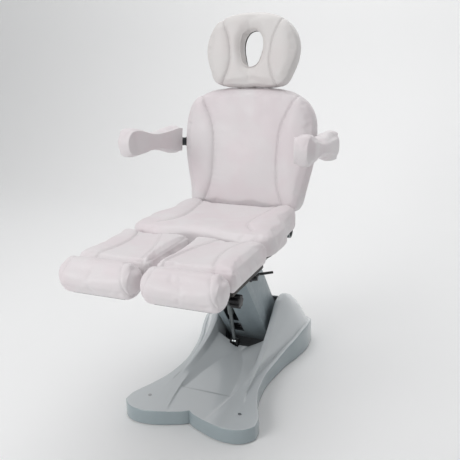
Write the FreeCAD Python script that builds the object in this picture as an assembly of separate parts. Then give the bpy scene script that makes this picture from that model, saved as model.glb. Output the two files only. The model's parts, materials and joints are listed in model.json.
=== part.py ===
import FreeCAD, Part
import math
import os

# Electric podiatry and pedicure treatment chair. Millimetres, +Z up, the front faces -Y,
# the sitter's left is +X, and the floor is z = 0 under the middle of the waist of the base.

# ---- driving dimensions: levels and reach -------------------------------------------------
SEAT_TOP_Z = 756.0
SEAT_THICK = 80.0
SEAT_FRONT_Y = -336.0
SEAT_REAR_Y = 140.0
SEAT_HALF_W = 298.0
BOARD_THICK = 12.0
BOARD_INSET = 22.0
SPLIT_HALF_GAP = 10.5

# ---- base ---------------------------------------------------------------------------------
PLINTH_H = 63.0
SHELL_WALL = 5.0
CHANNEL_HALF_W = 126.0
ARM_WELL_Y = (137.0, 432.0)
RAIL_X = 146.0
RAIL_SECTION = (40.0, 30.0)
RAIL_Z0 = 14.0
FOOT_R = 22.0
TOWER_X = (111.0, 119.0)
INLET_X = -60.0
INLET_Z = 36.0

# ---- lift parallelogram, given as (y, z) in the middle plane ---------------------------------
FRONT_PIVOT = (251.0, 100.0)
REAR_PIVOT = (316.0, 150.0)
LINK_LENGTH = 565.0
LINK_LEAN_DEG = 37.6
LINK_X = (88.0, 98.0)
PIN_R = 10.0
RUNNING_GAP = 0.05
COVER_HALF_W = 105.0
COVER_SHEET = 2.5
COVER_FRONT_OFF = 41.6
COVER_REAR_OFF = 42.5
SLOT_X = (-71.0, -13.0)
JACK_X = -42.0
JACK_FOOT = (139.0, 78.0)
JACK_TOP_ALONG = 480.0

# ---- seat support -------------------------------------------------------------------------
CARRIER_Z = 620.0
SWIVEL_Y = -60.0
TURRET_Z = 636.5
TILT_AXIS = (62.0, 648.0)
SEAT_RAIL_X = (150.0, 180.0)
SEAT_RAIL_Z = (640.0, 664.0)
LEG_AXIS = (-338.0, 668.0)

# ---- backrest and headrest, in their own leaning frames ---------------------------------------
BACK_ORIGIN = (0.0, 127.3, 608.0)
BACK_LEAN_DEG = 9.9
BACK_THICK = 85.0
BACK_AXIS = (190.0, 680.0)
HEAD_ORIGIN = (0.0, 238.7, 1244.0)
HEAD_LEAN_DEG = 11.1
HEAD_THICK = 78.0
ARM_AXIS_S = 410.0
ARM_AXIS_D = 119.0
ARM_TILT_DEG = 5.7
ARM_X = (334.0, 412.0)
RECLINE_CRANK = (230.0, 618.0)
RECLINE_CRANK_TOP = ((196.0, 664.0), (226.0, 672.0))
RECLINE_X = 196.0
RECLINE_FOOT_Y = -196.0
HEAD_POST_X = 62.0
HEAD_POST_D = 116.0
ARM_ORIGIN = (0.0, 252.0, 1011.0)
ARM_TIP = (-456, 0)

# ---- leg rests and foot bolsters ---------------------------------------------------------------
LEG_FRONT_Y = -668.0
LEG_REAR_Y = -341.0
LEG_BOTTOM_Z = 673.0
LEG_TOP_Z = 752.0
BOLSTER_Y = (-793.0, -671.0)
BOLSTER_Z = (643.0, 764.0)
LEG_TUBE_X = (100.0, 186.0)
LEG_TUBE_Z = 649.0
KNOB_AT = (-604.0, 628.0)
KNOB_LOBES = 7
LEVER_PIVOT = (-332.0, 603.0)
LEVER_X = 238.0

V = FreeCAD.Vector
X_AXIS = V(1, 0, 0)


# ---- small shape helpers ------------------------------------------------------------------
def box(low, high):
    """A box between two corners."""
    return Part.makeBox(high[0] - low[0], high[1] - low[1], high[2] - low[2], V(*low))


def rod_x(radius, x0, x1, yz):
    """A round bar along X, centred on (y, z)."""
    return Part.makeCylinder(radius, x1 - x0, V(x0, yz[0], yz[1]), X_AXIS)


def rod_z(radius, z0, z1, xy):
    """A round bar along Z, centred on (x, y)."""
    return Part.makeCylinder(radius, z1 - z0, V(xy[0], xy[1], z0))


def plate_x(x0, x1, outline):
    """A plate lying across X whose outline is a list of (y, z) corners."""
    points = [V(x0, y, z) for y, z in outline]
    return Part.Face(Part.makePolygon(points + points[:1])).extrude(V(x1 - x0, 0, 0))


def smooth_face(points, place):
    """A face bounded by one closed spline through 2-D points, placed by a function."""
    curve = Part.BSplineCurve()
    curve.interpolate([place(*p) for p in points], PeriodicFlag=True)
    return Part.Face(Part.Wire(curve.toShape()))


def mirrored(shape):
    """The same shape on the other side of the middle plane."""
    return shape.mirror(V(0, 0, 0), X_AXIS)


def both_sides(points):
    """A symmetric outline from its half with positive x, listed from end to end."""
    return points + [(-x, y) for x, y in reversed(points) if x > 0]


def fused(*shapes):
    """One solid from pieces that are welded or moulded together."""
    return shapes[0].multiFuse(list(shapes[1:])).removeSplitter()


def leaning(shape, origin, degrees):
    """A shape drawn upright at a local origin, leaned back about X and put in place."""
    rotation = FreeCAD.Rotation(X_AXIS, -degrees)
    moved = shape.copy()
    moved.Placement = FreeCAD.Placement(V(*origin), rotation)
    return moved.copy()


def lean_point(origin, degrees, d, s):
    """World (y, z) of a point d behind and s above the origin of a leaning frame."""
    angle = math.radians(degrees)
    return (origin[1] + d * math.cos(angle) + s * math.sin(angle),
            origin[2] - d * math.sin(angle) + s * math.cos(angle))


def rounded_pad(outline_face, thickness, rounding):
    """A cushion blank: a face pushed out along its normal, with its rims rounded."""
    face, direction = outline_face
    solid = face.extrude(direction * thickness)
    rims = [e for e in solid.Edges if is_rim(e, direction)]
    return solid.makeFillet(rounding, rims)


def is_rim(edge, direction):
    """Whether an edge lies in a plane square to the push direction."""
    first, last = edge.ParameterRange
    points = [edge.valueAt(first + (last - first) * i / 4.0) for i in range(5)]
    heights = [p.dot(direction) for p in points]
    return max(heights) - min(heights) < 0.01


# ---- base ---------------------------------------------------------------------------------
BASE_HALF = [(0, -442), (65, -478), (142, -504), (204, -509), (262, -492), (286, -455),
             (263, -368), (238, -315), (205, -204), (194, -84), (205, 43), (219, 139),
             (245, 230), (260, 337), (250, 440), (200, 520), (110, 550), (0, 556)]

# y, crest height beside the channel, x and z of the top of the hump, height of the side wall
HUMP_STATIONS = [(-250, 64, 150, 64, 63), (-150, 76, 150, 74, 64), (-30, 104, 148, 100, 66),
                 (100, 158, 152, 160, 78), (190, 232, 156, 238, 96), (262, 274, 160, 290, 116),
                 (340, 262, 160, 270, 124), (430, 214, 155, 212, 110), (520, 130, 120, 128, 84)]


def base_half_width(y):
    """Half width of the base outline at y, between the waist and the rear."""
    side = [p for p in BASE_HALF if p[0] > 0 and p[1] > -455]
    for (xa, ya), (xb, yb) in zip(side, side[1:]):
        if ya <= y <= yb:
            return xa + (xb - xa) * (y - ya) / (yb - ya)
    return side[-1][0]


def base_outline(inset):
    """The fish-tail outline, pulled in by an inset, as a wire at floor level."""
    wire = Part.makePolygon([V(x, y, 0) for x, y in both_sides(BASE_HALF) + [BASE_HALF[0]]])
    return wire.makeOffset2D(-inset) if inset else wire


def hump(inset):
    """One side's rising ridge and hump, as a loft of flat sections along Y."""
    wires = []
    for y, crest, top_x, top_z, side_z in HUMP_STATIONS:
        outer = base_half_width(y) - 2.0 - inset
        inner = CHANNEL_HALF_W + inset
        middle = (max(top_x, inner + 4.0) + outer) / 2.0
        points = [(inner, 8.0), (inner, crest - inset), (max(top_x, inner + 2.0), top_z - inset),
                  (middle, (top_z * 0.62 + side_z * 0.38) - inset), (outer, side_z - inset),
                  (outer, 8.0)]
        corners = [V(x, y, z) for x, z in points]
        wires.append(Part.makePolygon(corners + corners[:1]))
    return Part.makeLoft(wires, True, True)


def rear_bridge(inset):
    """The sloping back of the cover that joins the two humps behind the lift arm."""
    front, rear = ARM_WELL_Y[1] + inset, 545.0 - inset
    outline = [(front, 8.0), (front, 208.0 - inset), (470.0, 176.0 - inset),
               (520.0, 122.0 - inset), (rear, 63.0 - inset), (rear, 8.0)]
    half = CHANNEL_HALF_W + 6.0 + inset
    return plate_x(-half, half, outline)


def cover_solid(inset):
    """The base cover's outer form, or its inside when an inset is given."""
    floor = -1.0 if inset else 6.0
    plinth = Part.Face(base_outline(inset)).extrude(V(0, 0, PLINTH_H - inset - floor))
    plinth.translate(V(0, 0, floor))
    right = hump(inset)
    solid = fused(plinth, right, mirrored(right), rear_bridge(inset))
    if inset:
        skirt = Part.Face(base_outline(inset)).extrude(V(0, 0, 20))
        solid = fused(solid, skirt)
    return solid


def make_base():
    """Cover, steel chassis, pivots of the lift, jack foot and electrical parts."""
    nodes = {}
    well = box((-CHANNEL_HALF_W + 3, ARM_WELL_Y[0], -2), (CHANNEL_HALF_W - 3, ARM_WELL_Y[1], 400))
    jack_notch = box((JACK_X - 26, 112, 40), (JACK_X + 26, 140, 90))
    inlet_hole = Part.makeCylinder(17.0, 40.0, V(INLET_X, 570, INLET_Z), V(0, -1, 0))
    screw_spots = [(sx * 197.0, -401.0) for sx in (-1, 1)]
    cover = cover_solid(0.0).cut(cover_solid(SHELL_WALL)).cut(well).cut(jack_notch)
    cover = cover.cut(inlet_hole)
    screws = []
    for x, y in screw_spots:
        cover = cover.cut(rod_z(4.0, 50, 70, (x, y)))
        head = rod_z(7.0, PLINTH_H, PLINTH_H + 2.0, (x, y))
        screws.append(fused(head, rod_z(3.8, 46.0, PLINTH_H + 1.0, (x, y))))
    nodes["base_cover"] = biggest(cover)
    nodes["cover_screws"] = Part.makeCompound(screws)

    w, h = RAIL_SECTION
    z0, z1 = RAIL_Z0, RAIL_Z0 + h
    rail = box((RAIL_X - w / 2, -420, z0), (RAIL_X + w / 2, 490, z1))
    nodes["chassis_rails"] = pair(rail)
    reach = RAIL_X - w / 2
    y, z = JACK_FOOT
    beams = [box((-reach, -400, z0), (reach, -350, z1)),
             box((-reach, 440, z0), (reach, 485, z1)),
             box((-reach, -25, z0), (reach, 25, z1)),
             box((-reach, y - 22, z0), (reach, y + 26, 40))]
    nodes["chassis_cross_beams"] = Part.makeCompound(beams)
    tower = plate_x(TOWER_X[0], TOWER_X[1], [(205, z0), (365, z0), (350, 168), (330, 184),
                                             (302, 184), (236, 134), (222, 110)])
    for axis in (FRONT_PIVOT, REAR_PIVOT):
        tower = tower.cut(rod_x(PIN_R, 100, 130, axis))
    gusset = box((TOWER_X[1], 210, z0), (reach, 360, z1))
    nodes["pivot_towers"] = pair(fused(tower, gusset))
    pins = [rod_x(PIN_R, -TOWER_X[1], TOWER_X[1], axis) for axis in (FRONT_PIVOT, REAR_PIVOT)]
    nodes["base_pivot_pins"] = Part.makeCompound(pins)
    feet = [rod_z(FOOT_R, 0, z0, (sx * RAIL_X, y)) for sx in (-1, 1) for y in (-395, 465)]
    feet.append(rod_z(FOOT_R, 0, z0, (0, 0)))
    nodes["levelling_feet"] = Part.makeCompound(feet)

    ears = [plate_x(JACK_X + sx * 16 - 3, JACK_X + sx * 16 + 3,
                    [(y - 20, 44), (y + 24, 44), (y + 12, z + 13), (y - 12, z + 13)])
            for sx in (-1, 1)]
    pad = box((JACK_X - 22, y - 22, 40), (JACK_X + 22, y + 26, 46))
    pin = rod_x(6.0, JACK_X - 22, JACK_X + 22, JACK_FOOT)
    nodes["jack_foot_bracket"] = fused(pad, *ears, pin)
    nodes["control_box"] = box((-90, 442, 45), (90, 508, 88))
    mouth = V(INLET_X, base_rear_y(-INLET_X) + 1.2, INLET_Z)
    flange = Part.makeCylinder(21.0, 4.0, mouth, V(0, 1, 0))
    socket = Part.makeCylinder(16.5, 30.0, mouth + V(0, 1, 0), V(0, -1, 0))
    hollow = Part.makeCylinder(12.0, 20.0, mouth + V(0, 5, 0), V(0, -1, 0))
    nodes["power_inlet"] = fused(flange, socket).cut(hollow)
    return nodes


def base_rear_y(x):
    """Y of the rear edge of the base at a given x."""
    (xa, ya), (xb, yb) = BASE_HALF[-2:]
    return ya + (yb - ya) * (xa - x) / (xa - xb)


def pair(shape):
    """A shape and its mirror image, as two separate solids of one node."""
    return Part.makeCompound([shape, mirrored(shape)])


def biggest(shape):
    """The largest solid of a result, without stray chips."""
    return max(shape.Solids, key=lambda s: s.Volume)


# ---- lift arm -----------------------------------------------------------------------------
def arm_point(base, along, off):
    """World (y, z) of a point along a link and off it towards the rear."""
    lean = math.radians(LINK_LEAN_DEG)
    return (base[0] - along * math.sin(lean) + off * math.cos(lean),
            base[1] + along * math.cos(lean) + off * math.sin(lean))


def link_bar(base):
    """One flat link with a boss and a running bore at each pivot."""
    def at(along, off):
        return arm_point(base, along, off)
    bar = plate_x(LINK_X[0], LINK_X[1], [at(0, -22), at(LINK_LENGTH, -22), at(LINK_LENGTH, 22),
                                         at(0, 22)])
    ends = [at(0, 0), at(LINK_LENGTH, 0)]
    bar = fused(bar, *[rod_x(22.0, LINK_X[0], LINK_X[1], e) for e in ends])
    for e in ends:
        bar = bar.cut(rod_x(PIN_R + RUNNING_GAP, 80, 110, e))
    return bar


def channel_cover(base, along, front, rear, half_width, open_side):
    """A folded sheet cover: one broad face and two flanges."""
    def block(x, near, far):
        points = [(along[0], near), (along[1], near), (along[1], far), (along[0], far)]
        return plate_x(-x, x, [arm_point(base, a, o) for a, o in points])
    outer = block(half_width, front, rear)
    lip = COVER_SHEET
    inside = (front + lip, rear + 5) if open_side == "rear" else (front - 5, rear - lip)
    points = [(along[0] - 5, inside[0]), (along[1] + 5, inside[0]),
              (along[1] + 5, inside[1]), (along[0] - 5, inside[1])]
    hollow = plate_x(-half_width + lip, half_width - lip,
                     [arm_point(base, a, o) for a, o in points])
    return outer.cut(hollow)


def make_links():
    """The two pairs of links and the sheet covers they carry."""
    nodes = {}
    nodes["front_links"] = pair(link_bar(FRONT_PIVOT))
    nodes["rear_links"] = pair(link_bar(REAR_PIVOT))
    cover = channel_cover(FRONT_PIVOT, (-16, 610), -COVER_FRONT_OFF, 16.0, COVER_HALF_W, "rear")
    slot = plate_x(SLOT_X[0], SLOT_X[1], [arm_point(FRONT_PIVOT, a, o) for a, o in
                                          ((40, -60), (430, -60), (430, 5), (40, 5))])
    bridge = plate_x(SLOT_X[0] - 12, SLOT_X[1] + 12,
                     [arm_point(FRONT_PIVOT, a, o) for a, o in
                      ((118, 2 - COVER_FRONT_OFF), (138, 2 - COVER_FRONT_OFF),
                       (138, 6 - COVER_FRONT_OFF), (118, 6 - COVER_FRONT_OFF))])
    pin_holes = rod_x(PIN_R + 2.0, -120, 120, FRONT_PIVOT)
    upper_pin = arm_point(FRONT_PIVOT, LINK_LENGTH, 0)
    pin_holes = pin_holes.fuse(rod_x(PIN_R + 2.0, -120, 120, upper_pin))
    nodes["arm_cover_front"] = fused(cover.cut(slot).cut(pin_holes), bridge)
    rear_half = COVER_HALF_W - COVER_SHEET - 1.0
    nodes["arm_cover_rear"] = channel_cover(REAR_PIVOT, (60, 520), -80.0, COVER_REAR_OFF,
                                            rear_half, "front")
    top = arm_point(REAR_PIVOT, JACK_TOP_ALONG, 0)
    nodes["jack_top_pin"] = rod_x(7.0, -LINK_X[0], LINK_X[0], top)
    return nodes


def along_jack(radius, start, length, inner=0.0):
    """A round piece on the jack's axis, measured from its foot pivot."""
    top = arm_point(REAR_PIVOT, JACK_TOP_ALONG, 0)
    foot = V(JACK_X, *JACK_FOOT)
    way = (V(JACK_X, *top) - foot).normalize()
    piece = Part.makeCylinder(radius, length, foot + way * start, way)
    if inner:
        piece = piece.cut(Part.makeCylinder(inner, length, foot + way * start, way))
    return piece


def make_jack():
    """The electric lifting jack: rod, tube, motor and its floating top eye."""
    top = arm_point(REAR_PIVOT, JACK_TOP_ALONG, 0)
    reach = math.hypot(top[0] - JACK_FOOT[0], top[1] - JACK_FOOT[1])
    rod = fused(along_jack(9.0, 9.0, 280.0), rod_x(12.5, JACK_X - 10, JACK_X + 10, JACK_FOOT))
    rod = rod.cut(rod_x(6.0 + RUNNING_GAP, JACK_X - 30, JACK_X + 30, JACK_FOOT))
    tube = along_jack(13.0, 165.0, reach - 165.0 - 20.0, 9.1)
    eye = rod_x(26.0, JACK_X - 9, JACK_X + 9, top)
    tube = fused(tube, eye).cut(rod_x(21.0, JACK_X - 30, JACK_X + 30, top))
    motor = along_jack(22.0, 330.0, 90.0, 13.0)
    return {"jack_rod": rod, "jack_tube": biggest(tube), "jack_motor": motor}


def make_carrier():
    """The plate on top of the links, its lugs and pins, and the lower slewing ring."""
    front = arm_point(FRONT_PIVOT, LINK_LENGTH, 0)
    rear = arm_point(REAR_PIVOT, LINK_LENGTH, 0)
    plate = box((-82, -150, CARRIER_Z), (82, 30, CARRIER_Z + 8))
    nodes = {}
    outline = [(front[0] - 20, front[1] - 18), (front[0] + 14, front[1] - 20),
               (rear[0] + 22, rear[1] - 12), (rear[0] + 22, CARRIER_Z), (front[0] - 30, CARRIER_Z)]
    lug = plate_x(72, 82, outline)
    for axis in (front, rear):
        lug = lug.cut(rod_x(PIN_R, 60, 90, axis))
    nodes["carrier"] = fused(plate, lug, mirrored(lug))
    pins = [rod_x(PIN_R, 72, 98, axis) for axis in (front, rear)]
    nodes["carrier_pins"] = pair(Part.makeCompound(pins))
    ring = rod_z(92, CARRIER_Z + 8, TURRET_Z - 0.5, (0, SWIVEL_Y))
    nodes["slewing_ring"] = ring.cut(rod_z(60, CARRIER_Z, TURRET_Z, (0, SWIVEL_Y)))
    return nodes


def make_turret():
    """The turning plate with its tilt lugs and the spigot that turns in the ring."""
    z = TURRET_Z
    plate = rod_z(118, z, z + 8, (0, SWIVEL_Y))
    spigot = rod_z(60 - RUNNING_GAP, CARRIER_Z + 9, z, (0, SWIVEL_Y))
    wings = box((-134, 20, z), (134, 84, z + 4))
    y, h = TILT_AXIS
    lug = plate_x(124, 134, [(y - 20, z), (y + 20, z), (y + 11, h + 11), (y - 11, h + 11)])
    lug = lug.cut(rod_x(7.0 + RUNNING_GAP, 110, 140, TILT_AXIS))
    return {"turret": fused(plate, spigot, wings, lug, mirrored(lug)).cut(
        rod_x(7.0 + RUNNING_GAP, -140, 140, TILT_AXIS))}


# ---- seat ---------------------------------------------------------------------------------
SEAT_HALF = [(0, -300), (60, -312), (120, -333), (190, -336), (250, -322), (286, -288),
             (296, -220), (292, -110), (274, -60), (268, 30), (264, 90), (252, 124), (222, 138),
             (150, 140), (70, 140), (0, 140)]


def seat_outline(inset, z):
    """The seat's outline as a closed spline, pulled in by an inset."""
    scale_x = (SEAT_HALF_W - inset) / SEAT_HALF_W
    middle = (SEAT_FRONT_Y + SEAT_REAR_Y) / 2.0
    scale_y = 1.0 - 2.0 * inset / (SEAT_REAR_Y - SEAT_FRONT_Y)
    points = [(x * scale_x, middle + (y - middle) * scale_y) for x, y in both_sides(SEAT_HALF)]
    return smooth_face(points, lambda x, y: V(x, y, z))


def make_seat():
    """Cushion, board, frame, hinges and the jacks that the seat carries."""
    nodes = {}
    bottom = SEAT_TOP_Z - SEAT_THICK
    nodes["seat_cushion"] = rounded_pad((seat_outline(0, bottom), V(0, 0, 1)), SEAT_THICK, 16)
    board = seat_outline(BOARD_INSET, bottom - BOARD_THICK).extrude(V(0, 0, BOARD_THICK))
    nodes["seat_board"] = board
    x0, x1 = SEAT_RAIL_X
    z0, z1 = SEAT_RAIL_Z
    rail = box((x0, -312, z0), (x1, 118, z1))
    rail = rail.cut(rod_x(7.0, x0 - 5, x1 + 5, TILT_AXIS))
    beams = [box((-x0, -312, z0), (x0, -284, z1)), box((-x0, 90, z0), (x0, 118, z1))]
    nodes["seat_cross_tubes"] = Part.makeCompound(beams)
    y, z = BACK_AXIS
    knuckle = plate_x(x1, x1 + 8, [(96, z0), (150, z0), (y + 20, z - 12), (y + 20, z + 14),
                                   (y - 14, z + 16), (150, z1 + 4), (96, z1)])
    knuckle = knuckle.cut(seat_outline(BOARD_INSET - 0.2, 600).extrude(V(0, 0, 300)).common(
        box((-400, -400, bottom - BOARD_THICK - 0.2), (400, SEAT_REAR_Y + 2, bottom + 60))))
    knuckle = knuckle.cut(rod_x(7.0, x1 - 5, x1 + 15, BACK_AXIS))
    nodes["seat_rails"] = pair(fused(rail, knuckle))
    pin = rod_x(7.0, x1 - 24, x1 + 8, BACK_AXIS)
    tilt_pin = rod_x(7.0, -x1, x1, TILT_AXIS)
    nodes["seat_pins"] = Part.makeCompound([pin, mirrored(pin), tilt_pin])
    nodes["leg_hinges"] = pair(fused(make_leg_hinge(), make_lever()[1]))
    nodes["recline_jack"] = recline_tube()
    return nodes


def make_leg_hinge():
    """Two drop plates and a cross pin that carry one leg rest."""
    y, z = LEG_AXIS
    plates = []
    for x in (62.0, 214.0):
        plate = plate_x(x, x + 8, [(y - 8, z - 12), (y + 6, z - 18), (-284, 600), (-262, 600),
                                   (-262, 640), (-284, 663.6), (y + 16, 663.6),
                                   (y + 8, z + 4), (y - 8, z + 4)])
        plates.append(plate)
    tie = box((62, -282, 604), (222, -264, 622))
    pin = rod_x(5.0, 62, 222, LEG_AXIS)
    seat_beam = box((0, -312, SEAT_RAIL_Z[0]), (SEAT_RAIL_X[1], -284, SEAT_RAIL_Z[1]))
    return fused(*plates, tie, pin).cut(seat_beam)



def recline_tube():
    """The fixed tube and motor of the recline jack, hung under the seat frame."""
    z = RECLINE_CRANK[1]
    def along(radius, y0, y1):
        return Part.makeCylinder(radius, y1 - y0, V(RECLINE_X, y0, z), V(0, 1, 0))
    tube = along(15.0, RECLINE_FOOT_Y, 90.0)
    motor = Part.makeCylinder(21.0, 96.0, V(RECLINE_X, RECLINE_FOOT_Y - 6, z), V(0, 1, 0))
    hanger = box((SEAT_RAIL_X[1] + 0.2, -160, z), (SEAT_RAIL_X[1] + 10, -120, 663.5))
    return fused(tube, motor, hanger).cut(along(9.1, -118.0, 95.0))


def make_recline_rod():
    """The sliding rod of the recline jack with its floating eye."""
    y, z = RECLINE_CRANK
    rod = Part.makeCylinder(9.0, y - 18 + 20.0, V(RECLINE_X, -20.0, z), V(0, 1, 0))
    eye = rod_x(29.0, RECLINE_X - 8, RECLINE_X + 8, RECLINE_CRANK)
    return {"recline_rod": fused(rod, eye).cut(rod_x(23.0, 150, 250, RECLINE_CRANK))}


# ---- backrest -----------------------------------------------------------------------------
BACK_HALF = [(0, 120), (120, 120), (200, 120), (234, 126), (250, 146), (262, 190), (284, 290),
             (296, 380), (297, 470), (284, 545), (248, 598), (190, 630), (110, 645), (0, 648)]


def back_outline(inset, d):
    """The backrest's outline in its leaning frame, at depth d."""
    low, high, wide = 120.0, 648.0, 298.0
    middle = (low + high) / 2.0
    fx, fs = (wide - inset) / wide, 1.0 - 2.0 * inset / (high - low)
    points = [(x * fx, middle + (s - middle) * fs) for x, s in both_sides(BACK_HALF)]
    return smooth_face(points, lambda x, s: V(x, d, s))


def in_back(shape):
    """Move a shape from the backrest's frame to its place."""
    return leaning(shape, BACK_ORIGIN, BACK_LEAN_DEG)


def make_back():
    """Cushion, board, frame, hinge plates, headrest sockets and armrest brackets."""
    nodes = {}
    t = BACK_THICK
    nodes["back_cushion"] = in_back(rounded_pad((back_outline(0, 0), V(0, 1, 0)), t, 16))
    nodes["back_board"] = in_back(back_outline(24, t).extrude(V(0, BOARD_THICK, 0)))
    d0, d1 = t + BOARD_THICK, t + BOARD_THICK + 25.0
    rail = box((140, d0, 62), (162, d1, 560))
    nodes["back_rails"] = pair(in_back(rail))
    y, z = BACK_AXIS
    edge = lean_point(BACK_ORIGIN, BACK_LEAN_DEG, d1, 62)
    inner = lean_point(BACK_ORIGIN, BACK_LEAN_DEG, d0, 112)
    high = lean_point(BACK_ORIGIN, BACK_LEAN_DEG, d1, 160)
    cheek = plate_x(162, 170, [(y - 18, z - 12), (y + 4, z - 20), edge, high, inner,
                               (y + 2, z + 20), (y - 18, z + 12)])
    cheek = cheek.cut(rod_x(7.0 + RUNNING_GAP, 150, 180, BACK_AXIS))
    crank = plate_x(170, 178, [RECLINE_CRANK_TOP[0], RECLINE_CRANK_TOP[1], (244, 622),
                               (236, 608), (222, 608)])
    hub = rod_x(9.0, 178, RECLINE_X + 14, RECLINE_CRANK)
    nodes["back_cheeks"] = Part.makeCompound([fused(cheek, crank, hub), mirrored(cheek)])
    beams = [in_back(box((-140, d0, s), (140, d1, s + 27))) for s in (66, 396)]
    nodes["back_cross_tubes"] = Part.makeCompound(beams)
    sockets = []
    for sx in (-1, 1):
        tube = Part.makeCylinder(13, 150, V(sx * HEAD_POST_X, HEAD_POST_D, 470))
        clamp = box((sx * HEAD_POST_X - 16, d0, 480), (sx * HEAD_POST_X + 16, HEAD_POST_D, 600))
        bore = Part.makeCylinder(7 + RUNNING_GAP, 170, V(sx * HEAD_POST_X, HEAD_POST_D, 460))
        sockets.append(in_back(fused(tube, clamp).cut(bore)))
    nodes["headrest_sockets"] = Part.makeCompound(sockets)
    arm_axis = lean_point(BACK_ORIGIN, BACK_LEAN_DEG, ARM_AXIS_D, ARM_AXIS_S)
    tube = box((162, d0, ARM_AXIS_S - 14), (272, d0 + 22, ARM_AXIS_S + 14))
    lug = rod_x(17.0, 262, 322, arm_axis)
    pin = rod_x(7.0, 300, 350, arm_axis)
    nodes["arm_brackets"] = pair(fused(in_back(tube), lug, pin))
    return nodes



def make_headrest():
    """Posts and bracket that slide in the backrest, and the tilting pillow."""
    nodes = {}
    posts = [in_back(Part.makeCylinder(7, 196, V(sx * HEAD_POST_X, HEAD_POST_D, 490)))
             for sx in (-1, 1)]
    bar = in_back(box((-82, HEAD_POST_D - 9, 678), (82, HEAD_POST_D + 9, 692)))
    y, z = HEAD_AXIS
    lugs = []
    for sx in (-1, 1):
        x0 = 70 if sx > 0 else -82
        p0 = lean_point(BACK_ORIGIN, BACK_LEAN_DEG, HEAD_POST_D + 9, 679)
        p1 = lean_point(BACK_ORIGIN, BACK_LEAN_DEG, HEAD_POST_D - 9, 679)
        p2 = lean_point(BACK_ORIGIN, BACK_LEAN_DEG, HEAD_POST_D - 9, 700)
        lugs.append(plate_x(x0, x0 + 12, [p0, p1, p2, (y - 9, z + 8), (y + 9, z + 8),
                                          (y + 10, z - 8)]))
    nodes["headrest_posts"] = fused(*posts, bar, *lugs, rod_x(4.5, -82, 82, HEAD_AXIS))
    return nodes


HEAD_HALF = [(0, 9), (70, 9), (125, 10), (158, 21), (182, 58), (205, 120), (211, 170),
             (198, 233), (156, 288), (96, 316), (0, 325)]
HEAD_HOLE = [(0, 93), (26, 104), (40, 140), (48, 186), (42, 222), (24, 246), (0, 252)]


def head_face(points, d):
    """A face in the pillow's leaning frame, at depth d."""
    return smooth_face(points, lambda x, s: V(x, d, s))


HEAD_AXIS = lean_point(BACK_ORIGIN, BACK_LEAN_DEG, 116.0, 728.0)


def make_pillow():
    """The pillow with its face opening, its board and the hinge strap."""
    def place(shape):
        return leaning(shape, HEAD_ORIGIN, HEAD_LEAN_DEG)
    t = HEAD_THICK
    pad = rounded_pad((head_face(both_sides(HEAD_HALF), 0), V(0, 1, 0)), t, 14)
    hole = head_face(both_sides(HEAD_HOLE), -5).extrude(V(0, t + 30, 0))
    board_points = [(x * 0.9, 163 + (s - 163) * 0.9) for x, s in both_sides(HEAD_HALF)]
    board = head_face(board_points, t).extrude(V(0, 10, 0))
    wide_hole = [(x * 1.1, 173 + (s - 173) * 1.08) for x, s in both_sides(HEAD_HOLE)]
    board = board.cut(head_face(wide_hole, t - 5).extrude(V(0, 30, 0)))
    y, z = HEAD_AXIS
    near = lean_point(HEAD_ORIGIN, HEAD_LEAN_DEG, t + 10, 44)
    far = lean_point(HEAD_ORIGIN, HEAD_LEAN_DEG, t + 10, 84)
    strap = plate_x(-69, 69, [near, (y + 10, z - 7), (y + 12, z + 8), (y - 4, z + 14), far])
    strap = strap.cut(rod_x(4.5 + RUNNING_GAP, -90, 90, HEAD_AXIS))
    return {"headrest_cushion": place(pad.cut(hole)), "headrest_board": place(board),
            "headrest_strap": biggest(strap)}


# ---- armrests -----------------------------------------------------------------------------
ARM_TOP = [(0, 63), (-70, 58), (-180, 43), (-290, 44), (-372, 58), (-432, 56)]


def make_arm(flip):
    """A waisted armrest pad on a steel plate that turns on the bracket's pin."""
    upper = [V(0, y, h) for y, h in ARM_TOP]
    lower = [V(0, y, -h) for y, h in reversed(ARM_TOP)]
    top = Part.BSplineCurve()
    top.interpolate(upper)
    tip = Part.BSplineCurve()
    tip.interpolate([upper[-1], V(0, *ARM_TIP), lower[0]])
    low = Part.BSplineCurve()
    low.interpolate(lower)
    back = Part.LineSegment(lower[-1], upper[0])
    wire = Part.Wire([c.toShape() for c in (top, tip, low, back)])
    x0, x1 = ARM_X
    pad = Part.Face(wire).extrude(V(x1 - x0 - 8, 0, 0))
    pad.translate(V(x0 + 8, 0, 0))
    pad.Placement = FreeCAD.Placement(V(*ARM_ORIGIN), FreeCAD.Rotation(X_AXIS, -ARM_TILT_DEG)
                                      ).multiply(pad.Placement)
    axis = lean_point(BACK_ORIGIN, BACK_LEAN_DEG, ARM_AXIS_D, ARM_AXIS_S)
    tail = math.tan(math.radians(ARM_TILT_DEG))
    def at(y, h):
        return (ARM_ORIGIN[1] + y, ARM_ORIGIN[2] - y * tail + h)
    plate = plate_x(x0, x0 + 8, [at(-330, -22), (axis[0], axis[1] - 18), (axis[0], axis[1] + 18),
                                 at(-330, 22)])
    plate = fused(plate, rod_x(22.0, x0, x0 + 8, axis))
    plate = plate.cut(rod_x(7.0 + RUNNING_GAP, 300, 360, axis))
    pieces = (pad.copy(), plate)
    return [mirrored(p) for p in pieces] if flip else list(pieces)


# ---- leg rests ----------------------------------------------------------------------------


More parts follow.
